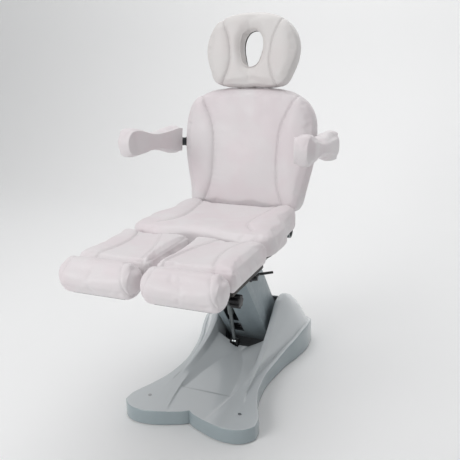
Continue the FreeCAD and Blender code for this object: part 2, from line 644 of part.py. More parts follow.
def make_leg():
    """One leg cushion with its board, tubes, hinge collar and knob bracket."""
    nodes = {}
    x0, x1 = SPLIT_HALF_GAP, SEAT_HALF_W + 1.0
    pad = box((x0, LEG_FRONT_Y, LEG_BOTTOM_Z), (x1, LEG_REAR_Y, LEG_TOP_Z))
    nodes["cushion"] = pad.makeFillet(14, pad.Edges)
    nodes["board"] = box((x0 + 12, LEG_FRONT_Y + 14, LEG_BOTTOM_Z - 10),
                         (x1 - 14, LEG_REAR_Y - 28, LEG_BOTTOM_Z))
    y, z = LEG_AXIS
    tubes = []
    for x in LEG_TUBE_X:
        tube = Part.makeCylinder(13.0, 296.0, V(x, LEG_FRONT_Y + 16, LEG_TUBE_Z), V(0, 1, 0))
        tubes.append(tube)
    arm_plates = []
    for x in (74.0, 202.0):
        arm_plates.append(plate_x(x, x + 8, [(y - 16, z - 9), (y + 5, z - 9), (y + 5, z + 3),
                                             (y - 16, z + 3)]))
    collar = fused(rod_x(10.0, 72, 212, LEG_AXIS),
                   box((72, y - 40, LEG_TUBE_Z - 8), (212, y - 14, LEG_BOTTOM_Z - 10.2)),
                   box((92, y - 24, z - 8), (196, y - 4, z - 1)))
    frame = fused(collar, *tubes, *arm_plates)
    for x in LEG_TUBE_X:
        frame = frame.cut(Part.makeCylinder(8.0 + RUNNING_GAP, 270.0,
                                            V(x, LEG_FRONT_Y, LEG_TUBE_Z), V(0, 1, 0)))
    frame = frame.cut(rod_x(5.0 + RUNNING_GAP, 50, 240, LEG_AXIS))
    ky, kz = KNOB_AT
    bracket = fused(box((LEG_TUBE_X[1] + 6, ky - 12, LEG_TUBE_Z - 6),
                        (256, ky + 12, LEG_TUBE_Z + 2)),
                    plate_x(250, 256, [(ky - 12, kz - 14), (ky + 12, kz - 14),
                                       (ky + 12, LEG_TUBE_Z + 2), (ky - 12, LEG_TUBE_Z + 2)]))
    bracket = bracket.cut(Part.makeCylinder(13.0, 100.0, V(LEG_TUBE_X[1], ky - 50, LEG_TUBE_Z),
                                            V(0, 1, 0)))
    bracket = biggest(bracket.cut(rod_x(5.0 + RUNNING_GAP, 240, 270, KNOB_AT)))
    nodes["frame"] = fused(frame, bracket)
    return nodes



def make_foot():
    """One foot bolster on its board and the two rods that slide in the leg tubes."""
    nodes = {}
    x0, x1 = SPLIT_HALF_GAP, SEAT_HALF_W + 1.0
    pad = box((x0, BOLSTER_Y[0], BOLSTER_Z[0] + 8), (x1, BOLSTER_Y[1], BOLSTER_Z[1]))
    nodes["cushion"] = pad.makeFillet(34, [e for e in pad.Edges if abs(
        e.valueAt(e.FirstParameter).x - e.valueAt(e.LastParameter).x) > 100])
    board = box((x0 + 44, BOLSTER_Y[0] + 43, BOLSTER_Z[0]),
                (x1 - 44, BOLSTER_Y[1] - 6, BOLSTER_Z[0] + 8))
    flange = box((LEG_TUBE_X[0] - 16, BOLSTER_Y[1] - 22, BOLSTER_Z[0] - 10),
                 (LEG_TUBE_X[1] + 16, BOLSTER_Y[1] - 14, BOLSTER_Z[0]))
    rods = [Part.makeCylinder(8.0, 250.0, V(x, BOLSTER_Y[1] - 14, LEG_TUBE_Z), V(0, 1, 0))
            for x in LEG_TUBE_X]
    tongue = [box((x - 8, BOLSTER_Y[1] - 22, BOLSTER_Z[0] - 10),
                  (x + 8, BOLSTER_Y[1] - 13, BOLSTER_Z[0])) for x in LEG_TUBE_X]
    rods_cut = [r.cut(board).cut(nodes["cushion"]) for r in rods]
    nodes["slide"] = fused(board, flange, *rods_cut, *tongue)
    return nodes


def make_knob():
    """The lobed clamp knob with its threaded stem."""
    y, z = KNOB_AT
    body = rod_x(19.0, 260, 292, KNOB_AT)
    lobes = []
    for i in range(KNOB_LOBES):
        angle = 2 * math.pi * i / KNOB_LOBES
        lobes.append(rod_x(6.5, 260, 292, (y + 17 * math.cos(angle), z + 17 * math.sin(angle))))
    return fused(body, *lobes, rod_x(5.0, 236, 262, KNOB_AT))



def make_lever():
    """The bent release lever beside the leg hinge, and the bolt it turns on."""
    y, z = LEVER_PIVOT
    path = [(LEVER_X, y - 13, z), (LEVER_X, y + 46, z), (LEVER_X + 42, y + 83, z)]
    rods = []
    for (xa, ya, za), (xb, yb, zb) in zip(path, path[1:]):
        a, b = V(xa, ya, za), V(xb, yb, zb)
        rods.append(Part.makeCylinder(5.0, (b - a).Length, a, (b - a).normalize()))
    rods.append(Part.makeSphere(5.0, V(*path[1])))
    hub = rod_x(9.0, LEVER_X - 6, LEVER_X + 6, LEVER_PIVOT)
    lever = fused(*rods, hub).cut(rod_x(4.0 + RUNNING_GAP, 220, 250, LEVER_PIVOT))
    shank = rod_x(4.0, 222.0, LEVER_X + 6.5, LEVER_PIVOT)
    bolt = fused(shank, rod_x(7.5, LEVER_X + 6.5, LEVER_X + 12, LEVER_PIVOT))
    ear = plate_x(222.0, 230.0, [(y - 12, z - 12), (y + 12, z - 12), (-284, 618), (-284, 650),
                                 (y + 24, 650), (y - 12, z + 16)])
    return lever, fused(bolt, ear)


# ---- the whole chair ----------------------------------------------------------------------
def make_all():
    """Every node of the chair, by name."""
    nodes = {}
    for maker in (make_base, make_links, make_jack, make_carrier, make_turret, make_seat,
                  make_recline_rod, make_back, make_headrest, make_pillow):
        nodes.update(maker())
    leg, foot = make_leg(), make_foot()
    for side, flip in (("left", False), ("right", True)):
        def put(shape):
            return mirrored(shape) if flip else shape
        nodes["armrest_pad_" + side], nodes["armrest_plate_" + side] = make_arm(flip)
        for part, shape in leg.items():
            nodes["leg_" + part + "_" + side] = put(shape)
        for part, shape in foot.items():
            nodes["foot_" + part + "_" + side] = put(shape)
        nodes["clamp_knob_" + side] = put(make_knob())
        nodes["release_lever_" + side] = put(make_lever()[0])
    return nodes


os.makedirs("parts", exist_ok=True)
for name, shape in make_all().items():
    shape.exportStep("parts/" + name + ".step")
    print(name, len(shape.Solids), round(shape.Volume / 1000.0, 1), shape.isValid())
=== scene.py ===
"""Electric pedicure treatment chair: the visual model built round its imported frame. Metres."""

import json
import logging
import math
from contextlib import contextmanager
from dataclasses import dataclass
from typing import Callable, Iterable, Iterator, Optional

import bmesh
import bpy
import numpy as np
from mathutils import Matrix, Vector
from mathutils.bvhtree import BVHTree


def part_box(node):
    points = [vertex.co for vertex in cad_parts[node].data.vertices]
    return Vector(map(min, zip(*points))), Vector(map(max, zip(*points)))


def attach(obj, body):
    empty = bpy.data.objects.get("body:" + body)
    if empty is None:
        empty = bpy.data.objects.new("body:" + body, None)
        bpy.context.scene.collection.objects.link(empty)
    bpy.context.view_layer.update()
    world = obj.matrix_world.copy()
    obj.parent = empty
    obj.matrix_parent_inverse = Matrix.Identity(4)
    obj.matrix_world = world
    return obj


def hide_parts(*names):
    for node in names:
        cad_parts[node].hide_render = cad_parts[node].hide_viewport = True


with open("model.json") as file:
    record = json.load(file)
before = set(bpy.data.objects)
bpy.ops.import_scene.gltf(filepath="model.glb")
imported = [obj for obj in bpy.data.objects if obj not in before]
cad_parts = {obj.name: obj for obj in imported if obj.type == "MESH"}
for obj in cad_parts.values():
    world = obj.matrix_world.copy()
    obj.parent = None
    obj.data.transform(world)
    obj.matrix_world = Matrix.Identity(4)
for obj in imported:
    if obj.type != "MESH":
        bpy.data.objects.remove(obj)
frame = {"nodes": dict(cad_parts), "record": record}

LOG = logging.getLogger("chair")
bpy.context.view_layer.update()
BODY_OF = {node: body for body, nodes in frame["record"]["behaviour"]["bodies"].items()
           for node in nodes}
SLOT_OF = {row["node"]: row["material_slot"] for row in frame["record"]["subparts"]}
MERGE_GAP = 2e-5
Array = np.ndarray
Triple = tuple[float, float, float]
Color = Triple
Object, Mesh, Material = bpy.types.Object, bpy.types.Mesh, bpy.types.Material
Node, Socket = bpy.types.Node, bpy.types.NodeSocket


# ---- numbers along lines ------------------------------------------------------------------
def ease(knots: Iterable[tuple[float, float]], at: Array) -> Array:
    """A smooth value read from a few knots, without overshoot between them.

    Args:
        knots: (position, value) pairs in rising order.
        at: the positions to read.

    Returns:
        The values at those positions.
    """
    xs, ys = np.array(list(knots), float).T
    slope = np.diff(ys) / np.diff(xs)
    tangent = np.zeros(len(xs))
    for i in range(1, len(xs) - 1):
        before, after = slope[i - 1], slope[i]
        tangent[i] = 2 * before * after / (before + after) if before * after > 0 else 0.0
    tangent[0], tangent[-1] = slope[0], slope[-1]
    i = np.clip(np.searchsorted(xs, at) - 1, 0, len(xs) - 2)
    width = xs[i + 1] - xs[i]
    u = np.clip((at - xs[i]) / width, 0.0, 1.0)
    start = ys[i] * (2 * u**3 - 3 * u**2 + 1) + tangent[i] * width * (u**3 - 2 * u**2 + u)
    return start + ys[i + 1] * (3 * u**2 - 2 * u**3) + tangent[i + 1] * width * (u**3 - u**2)


def flow(points: Iterable[tuple[float, ...]], count: int) -> Array:
    """A smooth Catmull-Rom curve through points, as evenly numbered samples."""
    knots = np.array(list(points), float)
    at = np.linspace(0.0, len(knots) - 1.0, count)
    i = np.clip(at.astype(int), 0, len(knots) - 2)
    u = (at - i)[:, None]
    ends = np.concatenate([[2 * knots[0] - knots[1]], knots, [2 * knots[-1] - knots[-2]]])
    a, b, c, d = ends[i], ends[i + 1], ends[i + 2], ends[i + 3]
    return 0.5 * (2 * b + (c - a) * u + (2 * a - 5 * b + 4 * c - d) * u**2
                  + (3 * b - a - 3 * c + d) * u**3)


def soft_step(value: Array, low: float, high: float) -> Array:
    """0 below low, 1 above high, and smooth between them."""
    u = np.clip((value - low) / (high - low), 0.0, 1.0)
    return u * u * (3 - 2 * u)


def nearest_on(line: Array, points: Array) -> tuple[Array, Array, Array]:
    """How plane points lie beside a polyline.

    Args:
        line: the polyline's points, two columns.
        points: the points to measure, two columns.

    Returns:
        The distance, the signed distance (positive to the left) and the length along the line.
    """
    best = np.full(len(points), np.inf)
    side = np.zeros(len(points))
    along = np.zeros(len(points))
    run = 0.0
    for a, b in zip(line[:-1], line[1:]):
        step = b - a
        length = float(np.hypot(*step))
        offset = points - a
        u = np.clip(offset @ step / length**2, 0.0, 1.0)
        gap = np.hypot(*(offset - u[:, None] * step).T)
        closer = gap < best
        best[closer] = gap[closer]
        side[closer] = np.sign(step[0] * offset[closer, 1] - step[1] * offset[closer, 0])
        along[closer] = run + u[closer] * length
        run += length
    return best, best * side, along


# ---- meshes -------------------------------------------------------------------------------
def points_of(mesh: Mesh) -> Array:
    """A mesh's vertices as rows of x, y, z."""
    flat = np.empty(len(mesh.vertices) * 3, np.float32)
    mesh.vertices.foreach_get("co", flat)
    return flat.reshape(-1, 3).astype(float)


def normals_of(mesh: Mesh) -> Array:
    """A mesh's vertex normals as rows of x, y, z."""
    flat = np.empty(len(mesh.vertices) * 3, np.float32)
    mesh.vertex_normals.foreach_get("vector", flat)
    return flat.reshape(-1, 3).astype(float)


def put_points(mesh: Mesh, points: Array) -> None:
    """Writes a mesh's vertices."""
    mesh.vertices.foreach_set("co", points.astype(np.float32).ravel())
    mesh.update()


def new_object(name: str, mesh: Mesh) -> Object:
    """A mesh object at the origin, linked to the scene."""
    made = bpy.data.objects.new(name, mesh)
    bpy.context.scene.collection.objects.link(made)
    return made


def built(name: str, points: Iterable, faces: Iterable, edges: Iterable = ()) -> Object:
    """An object from lists of points and faces."""
    mesh = bpy.data.meshes.new(name)
    mesh.from_pydata([tuple(map(float, p)) for p in points], list(edges), list(faces))
    mesh.validate()
    return new_object(name, mesh)


def settle(obj: Object) -> Object:
    """Turns an object's evaluated modifiers into its plain mesh."""
    bpy.context.view_layer.update()
    graph = bpy.context.evaluated_depsgraph_get()
    mesh = bpy.data.meshes.new_from_object(obj.evaluated_get(graph))
    obj.modifiers.clear()
    obj.data = mesh
    mesh.name = obj.name
    return obj


@contextmanager
def edited(mesh: Mesh) -> Iterator[bmesh.types.BMesh]:
    """A mesh opened for editing, and written back afterwards."""
    work = bmesh.new()
    work.from_mesh(mesh)
    yield work
    work.to_mesh(mesh)
    work.free()


def merged_copy(node: str, name: str) -> Object:
    """A copy of a CAD node's mesh with its loose triangles joined."""
    work = bmesh.new()
    work.from_mesh(frame["nodes"][node].data)
    bmesh.ops.remove_doubles(work, verts=work.verts, dist=MERGE_GAP)
    mesh = bpy.data.meshes.new(name)
    work.to_mesh(mesh)
    work.free()
    return new_object(name, mesh)


def mirror_mesh(obj: Object, name: str) -> Object:
    """The same mesh on the other side of the middle plane, faces outwards."""
    mesh = obj.data.copy()
    with edited(mesh) as work:
        bmesh.ops.scale(work, vec=(-1, 1, 1), verts=work.verts)
        bmesh.ops.reverse_faces(work, faces=work.faces)
    return new_object(name, mesh)


def shade(obj: Object, degrees: float) -> None:
    """Smooth shading that breaks at edges sharper than an angle."""
    obj.data.shade_smooth()
    obj.data.set_sharp_from_angle(angle=math.radians(degrees))


# ---- Geometry Nodes for what repeats ------------------------------------------------------
class Graph:
    """A node tree under construction."""

    def __init__(self, tree: bpy.types.NodeTree) -> None:
        """Starts work on a tree."""
        self.tree = tree

    def node(self, kind: str, **links: object) -> Node:
        """Adds a node and joins or sets its inputs by name.

        Args:
            kind: the node's type name.
            links: input names, with _ for a blank, to a socket or a value.

        Returns:
            The node.
        """
        made = self.tree.nodes.new(kind)
        for key, value in links.items():
            self.join(made.inputs[key.replace("_", " ")], value)
        return made

    def join(self, socket: Socket, value: object) -> None:
        """Links a socket to an input, or sets the input's plain value."""
        if isinstance(value, Socket):
            self.tree.links.new(value, socket)
        else:
            socket.default_value = value


class Repeat(Graph):
    """A Geometry Nodes tree that places one small shape many times."""

    def __init__(self, name: str) -> None:
        """Starts a tree with a geometry input and output."""
        super().__init__(bpy.data.node_groups.new(name, "GeometryNodeTree"))
        self.face = self.tree.interface
        for way in ("INPUT", "OUTPUT"):
            self.face.new_socket("Geometry", in_out=way, socket_type="NodeSocketGeometry")
        self.inputs = self.node("NodeGroupInput")
        self.outputs = self.node("NodeGroupOutput")

    def size(self, name: str, value: float) -> Socket:
        """Adds a named length input."""
        made = self.face.new_socket(name, in_out="INPUT", socket_type="NodeSocketFloat")
        made.default_value = value
        return self.inputs.outputs[name]

    def times(self, size: Socket, factor: float) -> Socket:
        """A size multiplied by a plain number."""
        made = self.node("ShaderNodeMath")
        made.operation = "MULTIPLY"
        self.join(made.inputs[0], size)
        self.join(made.inputs[1], factor)
        return made.outputs[0]

    def turned(self, way: Socket) -> Socket:
        """The rotation that points a shape's Z along a direction."""
        made = self.node("FunctionNodeAlignRotationToVector", Vector=way)
        made.axis = "Z"
        return made.outputs[0]

    def close(self, placed: Node) -> None:
        """Realizes the placed instances, sets their material and ends the tree."""
        self.face.new_socket("Finish", in_out="INPUT", socket_type="NodeSocketMaterial")
        real = self.node("GeometryNodeRealizeInstances", Geometry=placed.outputs[0])
        painted = self.node("GeometryNodeSetMaterial", Geometry=real.outputs[0],
                            Material=self.inputs.outputs["Finish"])
        self.join(self.outputs.inputs[0], painted.outputs[0])

    def grow(self, obj: Object, finish: Material, **sizes: float) -> Object:
        """Runs the tree on an object and leaves a plain mesh.

        Args:
            obj: the object that carries the path or the points.
            finish: the material of the repeated shape.
            sizes: values of the named inputs.

        Returns:
            The same object with the repeated shapes as its mesh.
        """
        modifier = obj.modifiers.new("repeat", "NODES")
        modifier.node_group = self.tree
        values: dict[str, object] = {"Finish": finish, **sizes}
        for item in self.face.items_tree:
            if item.in_out == "INPUT" and item.name in values:
                modifier[item.identifier] = values[item.name]
        settle(obj)
        if not obj.data.materials:
            obj.data.materials.append(finish)
        return obj


def stitch_tree() -> Repeat:
    """Short thread stitches laid end to end along a path."""
    tree = Repeat("stitches")
    pitch, length, radius = (tree.size(n, v) for n, v in
                             (("Pitch", 0.005), ("Length", 0.0036), ("Radius", 0.0006)))
    path = tree.node("GeometryNodeMeshToCurve", Mesh=tree.inputs.outputs["Geometry"])
    beads = tree.node("GeometryNodeResampleCurve", Curve=path.outputs[0])
    beads.mode = "LENGTH"
    tree.join(beads.inputs["Length"], pitch)
    scale = tree.node("ShaderNodeCombineXYZ", X=radius, Y=radius, Z=tree.times(length, 0.5))
    seed = tree.node("GeometryNodeMeshUVSphere", Segments=6, Rings=4, Radius=1.0)
    way = tree.turned(tree.node("GeometryNodeInputTangent").outputs[0])
    tree.close(tree.node("GeometryNodeInstanceOnPoints", Points=beads.outputs[0],
                         Instance=seed.outputs[0], Rotation=way, Scale=scale.outputs[0]))
    return tree


def bolt_tree() -> Repeat:
    """Domed bolt heads on washers, turned to face each point's aim."""
    tree = Repeat("bolts")
    radius, height = tree.size("Radius", 0.006), tree.size("Height", 0.004)
    washer = tree.node("GeometryNodeMeshCylinder", Vertices=16, Radius=radius, Depth=height)
    dome = tree.node("GeometryNodeMeshUVSphere", Segments=14, Rings=8, Radius=1.0)
    crown = tree.times(radius, 0.72)
    scale = tree.node("ShaderNodeCombineXYZ", X=crown, Y=crown, Z=height)
    head = tree.node("GeometryNodeTransform", Geometry=dome.outputs[0], Scale=scale.outputs[0])
    joined = tree.node("GeometryNodeJoinGeometry")
    for piece in (washer, head):
        tree.join(joined.inputs[0], piece.outputs[0])
    aim = tree.node("GeometryNodeInputNamedAttribute", Name="aim")
    aim.data_type = "FLOAT_VECTOR"
    tree.close(tree.node("GeometryNodeInstanceOnPoints", Points=tree.inputs.outputs["Geometry"],
                         Instance=joined.outputs[0], Rotation=tree.turned(aim.outputs[0])))
    return tree


# ---- finishes -----------------------------------------------------------------------------
class Paint(Graph):
    """A node material under construction."""

    def __init__(self, name: str, color: Color, roughness: float, metallic: float = 0.0) -> None:
        """Starts a material with its plain values on the shader."""
        self.material = bpy.data.materials.new(name)
        self.material.use_nodes = True
        super().__init__(self.material.node_tree)
        self.surface = self.tree.nodes["Principled BSDF"]
        self.put(Base_Color=(*color, 1.0), Roughness=roughness, Metallic=metallic)
        self.place = self.node("ShaderNodeTexCoord").outputs["Object"]

    def put(self, **values: object) -> None:
        """Sets the shader's inputs, or links patterns to them, by name with _ for a blank."""
        for key, value in values.items():
            self.join(self.surface.inputs[key.replace("_", " ")], value)

    def noise(self, scale: float, detail: float = 3.0, roughness: float = 0.5,
              stretch: Optional[Triple] = None) -> Socket:
        """Cloudy pattern of a given fineness per metre, or stretched by a factor on each axis."""
        vector = self.place
        if stretch:
            vector = self.node("ShaderNodeMapping", Vector=self.place, Scale=stretch).outputs[0]
        return self.node("ShaderNodeTexNoise", Scale=scale, Detail=detail, Roughness=roughness,
                         Vector=vector).outputs["Fac"]

    def pebbles(self, scale: float) -> Socket:
        """Rounded cells of a given fineness per metre."""
        made = self.node("ShaderNodeTexVoronoi", Scale=scale, Vector=self.place)
        made.feature = "SMOOTH_F1"
        self.join(made.inputs["Smoothness"], 0.6)
        return made.outputs["Distance"]

    def mark(self, name: str) -> Socket:
        """A value that the mesh carries at its points."""
        made = self.node("ShaderNodeAttribute")
        made.attribute_name = name
        return made.outputs["Fac"]

    def ramp(self, value: Socket, low: float, high: float, to_low: float,
             to_high: float) -> Socket:
        """Maps one range of a value to another."""
        made = self.node("ShaderNodeMapRange", Value=value, From_Min=low, From_Max=high,
                         To_Min=to_low, To_Max=to_high)
        made.interpolation_type = "SMOOTHSTEP"
        return made.outputs["Result"]

    def blend(self, factor: Socket, first: object, second: object) -> Socket:
        """Mixes two colours by a factor; each is a colour or a socket."""
        made = self.node("ShaderNodeMix")
        made.data_type = "RGBA"
        for index, value in ((0, factor), (6, first), (7, second)):
            self.join(made.inputs[index], (*value, 1.0) if isinstance(value, tuple) else value)
        return made.outputs[2]

    def relief(self, height: Socket, strength: float, depth: float,
               under: Optional[Socket] = None) -> Socket:
        """A fine relief of a given depth in metres, on top of another."""
        made = self.node("ShaderNodeBump", Strength=strength, Distance=depth, Height=height)
        if under:
            self.join(made.inputs["Normal"], under)
        return made.outputs[0]

    def sheen(self, pattern: Socket, low: float, high: float) -> None:
        """Lets the roughness follow a pattern between two values."""
        self.put(Roughness=self.ramp(pattern, 0.3, 0.7, low, high))

    def grained(self, pattern: Socket, strength: float, depth: float, edge: float) -> None:
        """A relief on a surface whose sharp edges look softened by a radius."""
        made = self.node("ShaderNodeBevel", Radius=edge)
        made.samples = 4
        self.put(Normal=self.relief(pattern, strength, depth, made.outputs[0]))


def mixed(first: Color, second: Color, share: float) -> Color:
    """A colour part of the way from the first to the second."""
    return tuple(a + (b - a) * share for a, b in zip(first, second))


@dataclass(frozen=True)
class Leatherette:
    """Soft coated upholstery fabric with a fine pebbled grain."""

    name: str
    color: Color
    blush: Color
    roughness: float = 0.44

    def material(self) -> Material:
        """Grain, faint tint patches and painted shade that darkens the sewn creases."""
        paint = Paint(self.name, self.color, self.roughness)
        patches = paint.ramp(paint.noise(7.0, 2.0), 0.38, 0.66, 0.0, 1.0)
        tinted = paint.blend(patches, self.color, self.blush)
        # painted shade: the colour darkens towards half its value in the seam grooves, following the
        # crease mark on the mesh
        crease = paint.ramp(paint.mark("crease"), 0.15, 1.0, 0.0, 0.30)
        shade = tuple(c * 0.5 for c in self.color)
        paint.put(Base_Color=paint.blend(crease, tinted, shade), Specular_IOR_Level=0.42,
                  Sheen_Weight=0.06)
        paint.sheen(paint.noise(22.0, 4.0), self.roughness - 0.05, self.roughness + 0.09)
        folds = paint.relief(paint.noise(34.0, 3.0, 0.6), 0.30, 0.0016)
        grain = paint.relief(paint.pebbles(620.0), 0.35, 0.00022, folds)
        paint.put(Normal=paint.relief(paint.noise(1900.0, 2.0), 0.25, 0.00008, grain))
        return paint.material


@dataclass(frozen=True)
class MouldedShell:
    """Glossy moulded plastic or glass fibre with a sprayed coat."""

    name: str
    color: Color
    # the darker colour painted on the side walls as shade
    shade: Color

    def material(self) -> Material:
        """A clear coat over the colour, painted darker on the side walls as shade, with a faint mould
        ripple.
        """
        paint = Paint(self.name, self.color, 0.28)
        ripple = paint.relief(paint.noise(9.0, 1.0), 0.12, 0.0010)
        # painted shade: the side walls blend towards the shade colour, following the wall mark
        paint.put(Base_Color=paint.blend(paint.mark("wall"), self.color, self.shade),
                  Normal=paint.relief(paint.noise(1300.0, 2.0), 0.06, 0.00004, ripple),
                  Coat_Weight=0.55, Coat_Roughness=0.09)
        return paint.material


@dataclass(frozen=True)
class PaintedSteel:
    """Powder-coated steel with a faint orange-peel texture."""

    name: str
    color: Color
    roughness: float = 0.42

    def material(self) -> Material:
        """Even colour, lighter rubbed spots and fine peel."""
        paint = Paint(self.name, self.color, self.roughness)
        rubbed = paint.ramp(paint.noise(18.0, 6.0, 0.65), 0.55, 0.8, 0.0, 0.35)
        lighter = tuple(1.25 * c + 0.003 for c in self.color)
        paint.put(Base_Color=paint.blend(rubbed, self.color, lighter))
        paint.sheen(paint.noise(45.0, 4.0), self.roughness - 0.06, self.roughness + 0.1)
        paint.grained(paint.noise(700.0, 2.0), 0.22, 0.00012, 0.0012)
        return paint.material


@dataclass(frozen=True)
class BareSteel:
    """Turned, ground or plated steel."""

    name: str
    color: Color
    roughness: float
    streak: Triple = (40.0, 40.0, 900.0)

    def material(self) -> Material:
        """Fine machining lines and a little tarnish."""
        paint = Paint(self.name, self.color, self.roughness, 1.0)
        tarnish = paint.ramp(paint.noise(30.0, 5.0), 0.45, 0.75, 0.0, 0.5)
        dull = mixed(self.color, (0.1, 0.1, 0.1), 0.4)
        paint.put(Base_Color=paint.blend(tarnish, self.color, dull))
        lines = paint.noise(1.0, 2.0, 0.5, self.streak)
        paint.sheen(lines, self.roughness * 0.75, self.roughness * 1.3)
        paint.grained(lines, 0.12, 0.00008, 0.0008)
        return paint.material


@dataclass(frozen=True)
class Moulding:
    """Plain moulded plastic or rubber with a spark-eroded surface."""

    name: str
    color: Color
    roughness: float
    texture: float = 900.0

    def material(self) -> Material:
        """Fine texture with slight dusty lightening."""
        paint = Paint(self.name, self.color, self.roughness)
        dust = paint.ramp(paint.noise(26.0, 5.0), 0.5, 0.8, 0.0, 0.25)
        dusty = mixed(self.color, (0.3, 0.3, 0.3), 0.05)
        paint.put(Base_Color=paint.blend(dust, self.color, dusty), Specular_IOR_Level=0.32)
        paint.sheen(paint.noise(50.0, 3.0), self.roughness - 0.07, self.roughness + 0.07)
        paint.grained(paint.noise(self.texture, 2.0), 0.3, 0.00012, 0.001)
        return paint.material


@dataclass(frozen=True)
class StainedPly:
    """Plywood with a dark stain, its grain along the chair."""

    name: str
    color: Color

    def material(self) -> Material:
        """Long open grain under a dull stain."""
        paint = Paint(self.name, self.color, 0.6)
        grain = paint.noise(1.0, 5.0, 0.7, (420.0, 18.0, 420.0))
        open_grain = mixed(self.color, (0.16, 0.11, 0.07), 0.3)
        paint.put(Base_Color=paint.blend(paint.ramp(grain, 0.35, 0.7, 0.0, 0.6), self.color,
                                         open_grain))
        paint.sheen(grain, 0.5, 0.72)
        paint.grained(grain, 0.3, 0.0002, 0.001)
        return paint.material


UPHOLSTERY = Leatherette("upholstery", (0.745, 0.708, 0.718), (0.735, 0.672, 0.69))
UPHOLSTERY_HEAD = Leatherette("upholstery_head", (0.705, 0.682, 0.67), (0.70, 0.665, 0.655))
THREAD = Moulding("thread", (0.70, 0.67, 0.67), 0.6, 3000.0)
FINISHES: dict[str, object] = {
    "upholstery": UPHOLSTERY,
    "upholstery_head": UPHOLSTERY_HEAD,
    # the second colour is painted shade for the cover's side walls
    "base_plastic": MouldedShell("base_shell", (0.60, 0.63, 0.645), (0.26, 0.32, 0.34)),
    "arm_paint": PaintedSteel("arm_paint", (0.28, 0.33, 0.352), 0.36),
    "frame_paint": PaintedSteel("frame_paint", (0.045, 0.05, 0.055)),
    "black_steel": PaintedSteel("black_steel", (0.012, 0.012, 0.013), 0.34),
    "black_plastic": Moulding("black_plastic", (0.011, 0.011, 0.012), 0.38),
    "pin_steel": BareSteel("pin_steel", (0.10, 0.10, 0.105), 0.38, (900.0, 40.0, 40.0)),
    "ring_steel": BareSteel("ring_steel", (0.34, 0.34, 0.35), 0.42),
    "screw_steel": BareSteel("screw_steel", (0.42, 0.42, 0.43), 0.34),
    "jack_grey": PaintedSteel("jack_grey", (0.17, 0.19, 0.19), 0.4),
    "jack_rod_steel": BareSteel("jack_rod_steel", (0.34, 0.36, 0.36), 0.34),
    "post_chrome": BareSteel("post_chrome", (0.72, 0.73, 0.74), 0.12),
    "stained_plywood": StainedPly("stained_plywood", (0.03, 0.029, 0.029)),
    "control_box": Moulding("control_box", (0.045, 0.045, 0.05), 0.5),
    "inlet_plastic": Moulding("inlet_plastic", (0.018, 0.018, 0.018), 0.45),
    "foot_rubber": Moulding("foot_rubber", (0.03, 0.03, 0.03), 0.8, 500.0),
}


class PaintShop:
    """Makes each finish once and hands out its material."""

    def __init__(self) -> None:
        """Starts with nothing mixed."""
        self.mixed: dict[object, Material] = {}

    def of(self, finish: object) -> Material:
        """The material of a finish, made the first time it is asked for."""
        if finish not in self.mixed:
            self.mixed[finish] = finish.material()
        return self.mixed[finish]

    def for_slot(self, slot: str) -> Material:
        """The material of one of the record's slots."""
        return self.of(FINISHES[slot])


SHOP = PaintShop()


def dress(obj: Object, body: str, slot: str, *nodes: str,
          finish: Optional[object] = None) -> Object:
    """Gives a finished piece its material, its body and the nodes it stands for.

    Args:
        obj: the finished mesh at the origin.
        body: the CAD body that carries it.
        slot: the record's material slot.
        nodes: CAD nodes that it replaces.
        finish: another finish than the slot's own.

    Returns:
        The same object.
    """
    paint = SHOP.of(finish) if finish else SHOP.for_slot(slot)
    obj.data.materials.clear()
    obj.data.materials.append(paint)
    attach(obj, body)
    if nodes:
        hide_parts(*nodes)
    LOG.info("%s: %d faces on %s", obj.name, len(obj.data.polygons), body)
    return obj


# ---- cushions -----------------------------------------------------------------------------
@dataclass(frozen=True)
class Place:
    """A cushion's own frame: across, along its length, and out of its face."""

    origin: Triple
    along: Triple
    out: Triple

    def axes(self) -> Array:
        """Rows of the three directions."""
        along, out = np.array(self.along), np.array(self.out)
        return np.array([np.cross(along, out), along, out])

    def inside(self, points: Array) -> Array:
        """Points as (across, along, out)."""
        return (points - np.array(self.origin)) @ self.axes().T

    def outside(self, local: Array) -> Array:
        """Local points in the row frame."""
        return local @ self.axes() + np.array(self.origin)


def leaning(y: float, z: float, degrees: float) -> Place:
    """The frame of a pad that leans back from upright by some degrees."""
    angle = math.radians(degrees)
    return Place((0.0, y, z), (0.0, math.sin(angle), math.cos(angle)),
                 (0.0, -math.cos(angle), math.sin(angle)))


def lying(z: float) -> Place:
    """The frame of a pad that lies flat, its length along Y."""
    return Place((0.0, 0.0, z), (0.0, 1.0, 0.0), (0.0, 0.0, 1.0))


@dataclass(frozen=True)
class Seam:
    """A sewn line across a cushion's face, as (across, along) points."""

    points: tuple[tuple[float, float], ...]
    depth: float = 0.0042
    width: float = 0.0065

    def line(self) -> Array:
        """The seam as a fine polyline."""
        return flow(self.points, 14 * len(self.points))

    def other_side(self) -> "Seam":
        """The same seam on the other half of the cushion."""
        return Seam(tuple((-x, t) for x, t in self.points), self.depth, self.width)


RING_DEPTH = 0.0026
STITCH_OFFSET = 0.0052
STITCH = {"Pitch": 0.0052, "Length": 0.0038, "Radius": 0.00055}
PUCKER_PITCH = 0.031
SWELL_FRAMES = 20
CLOTH = {"quality": 4, "mass": 0.35, "tension_stiffness": 22.0, "compression_stiffness": 18.0,
         "shear_stiffness": 8.0, "bending_stiffness": 1.2, "use_pressure": True,
         "vertex_group_mass": "held"}


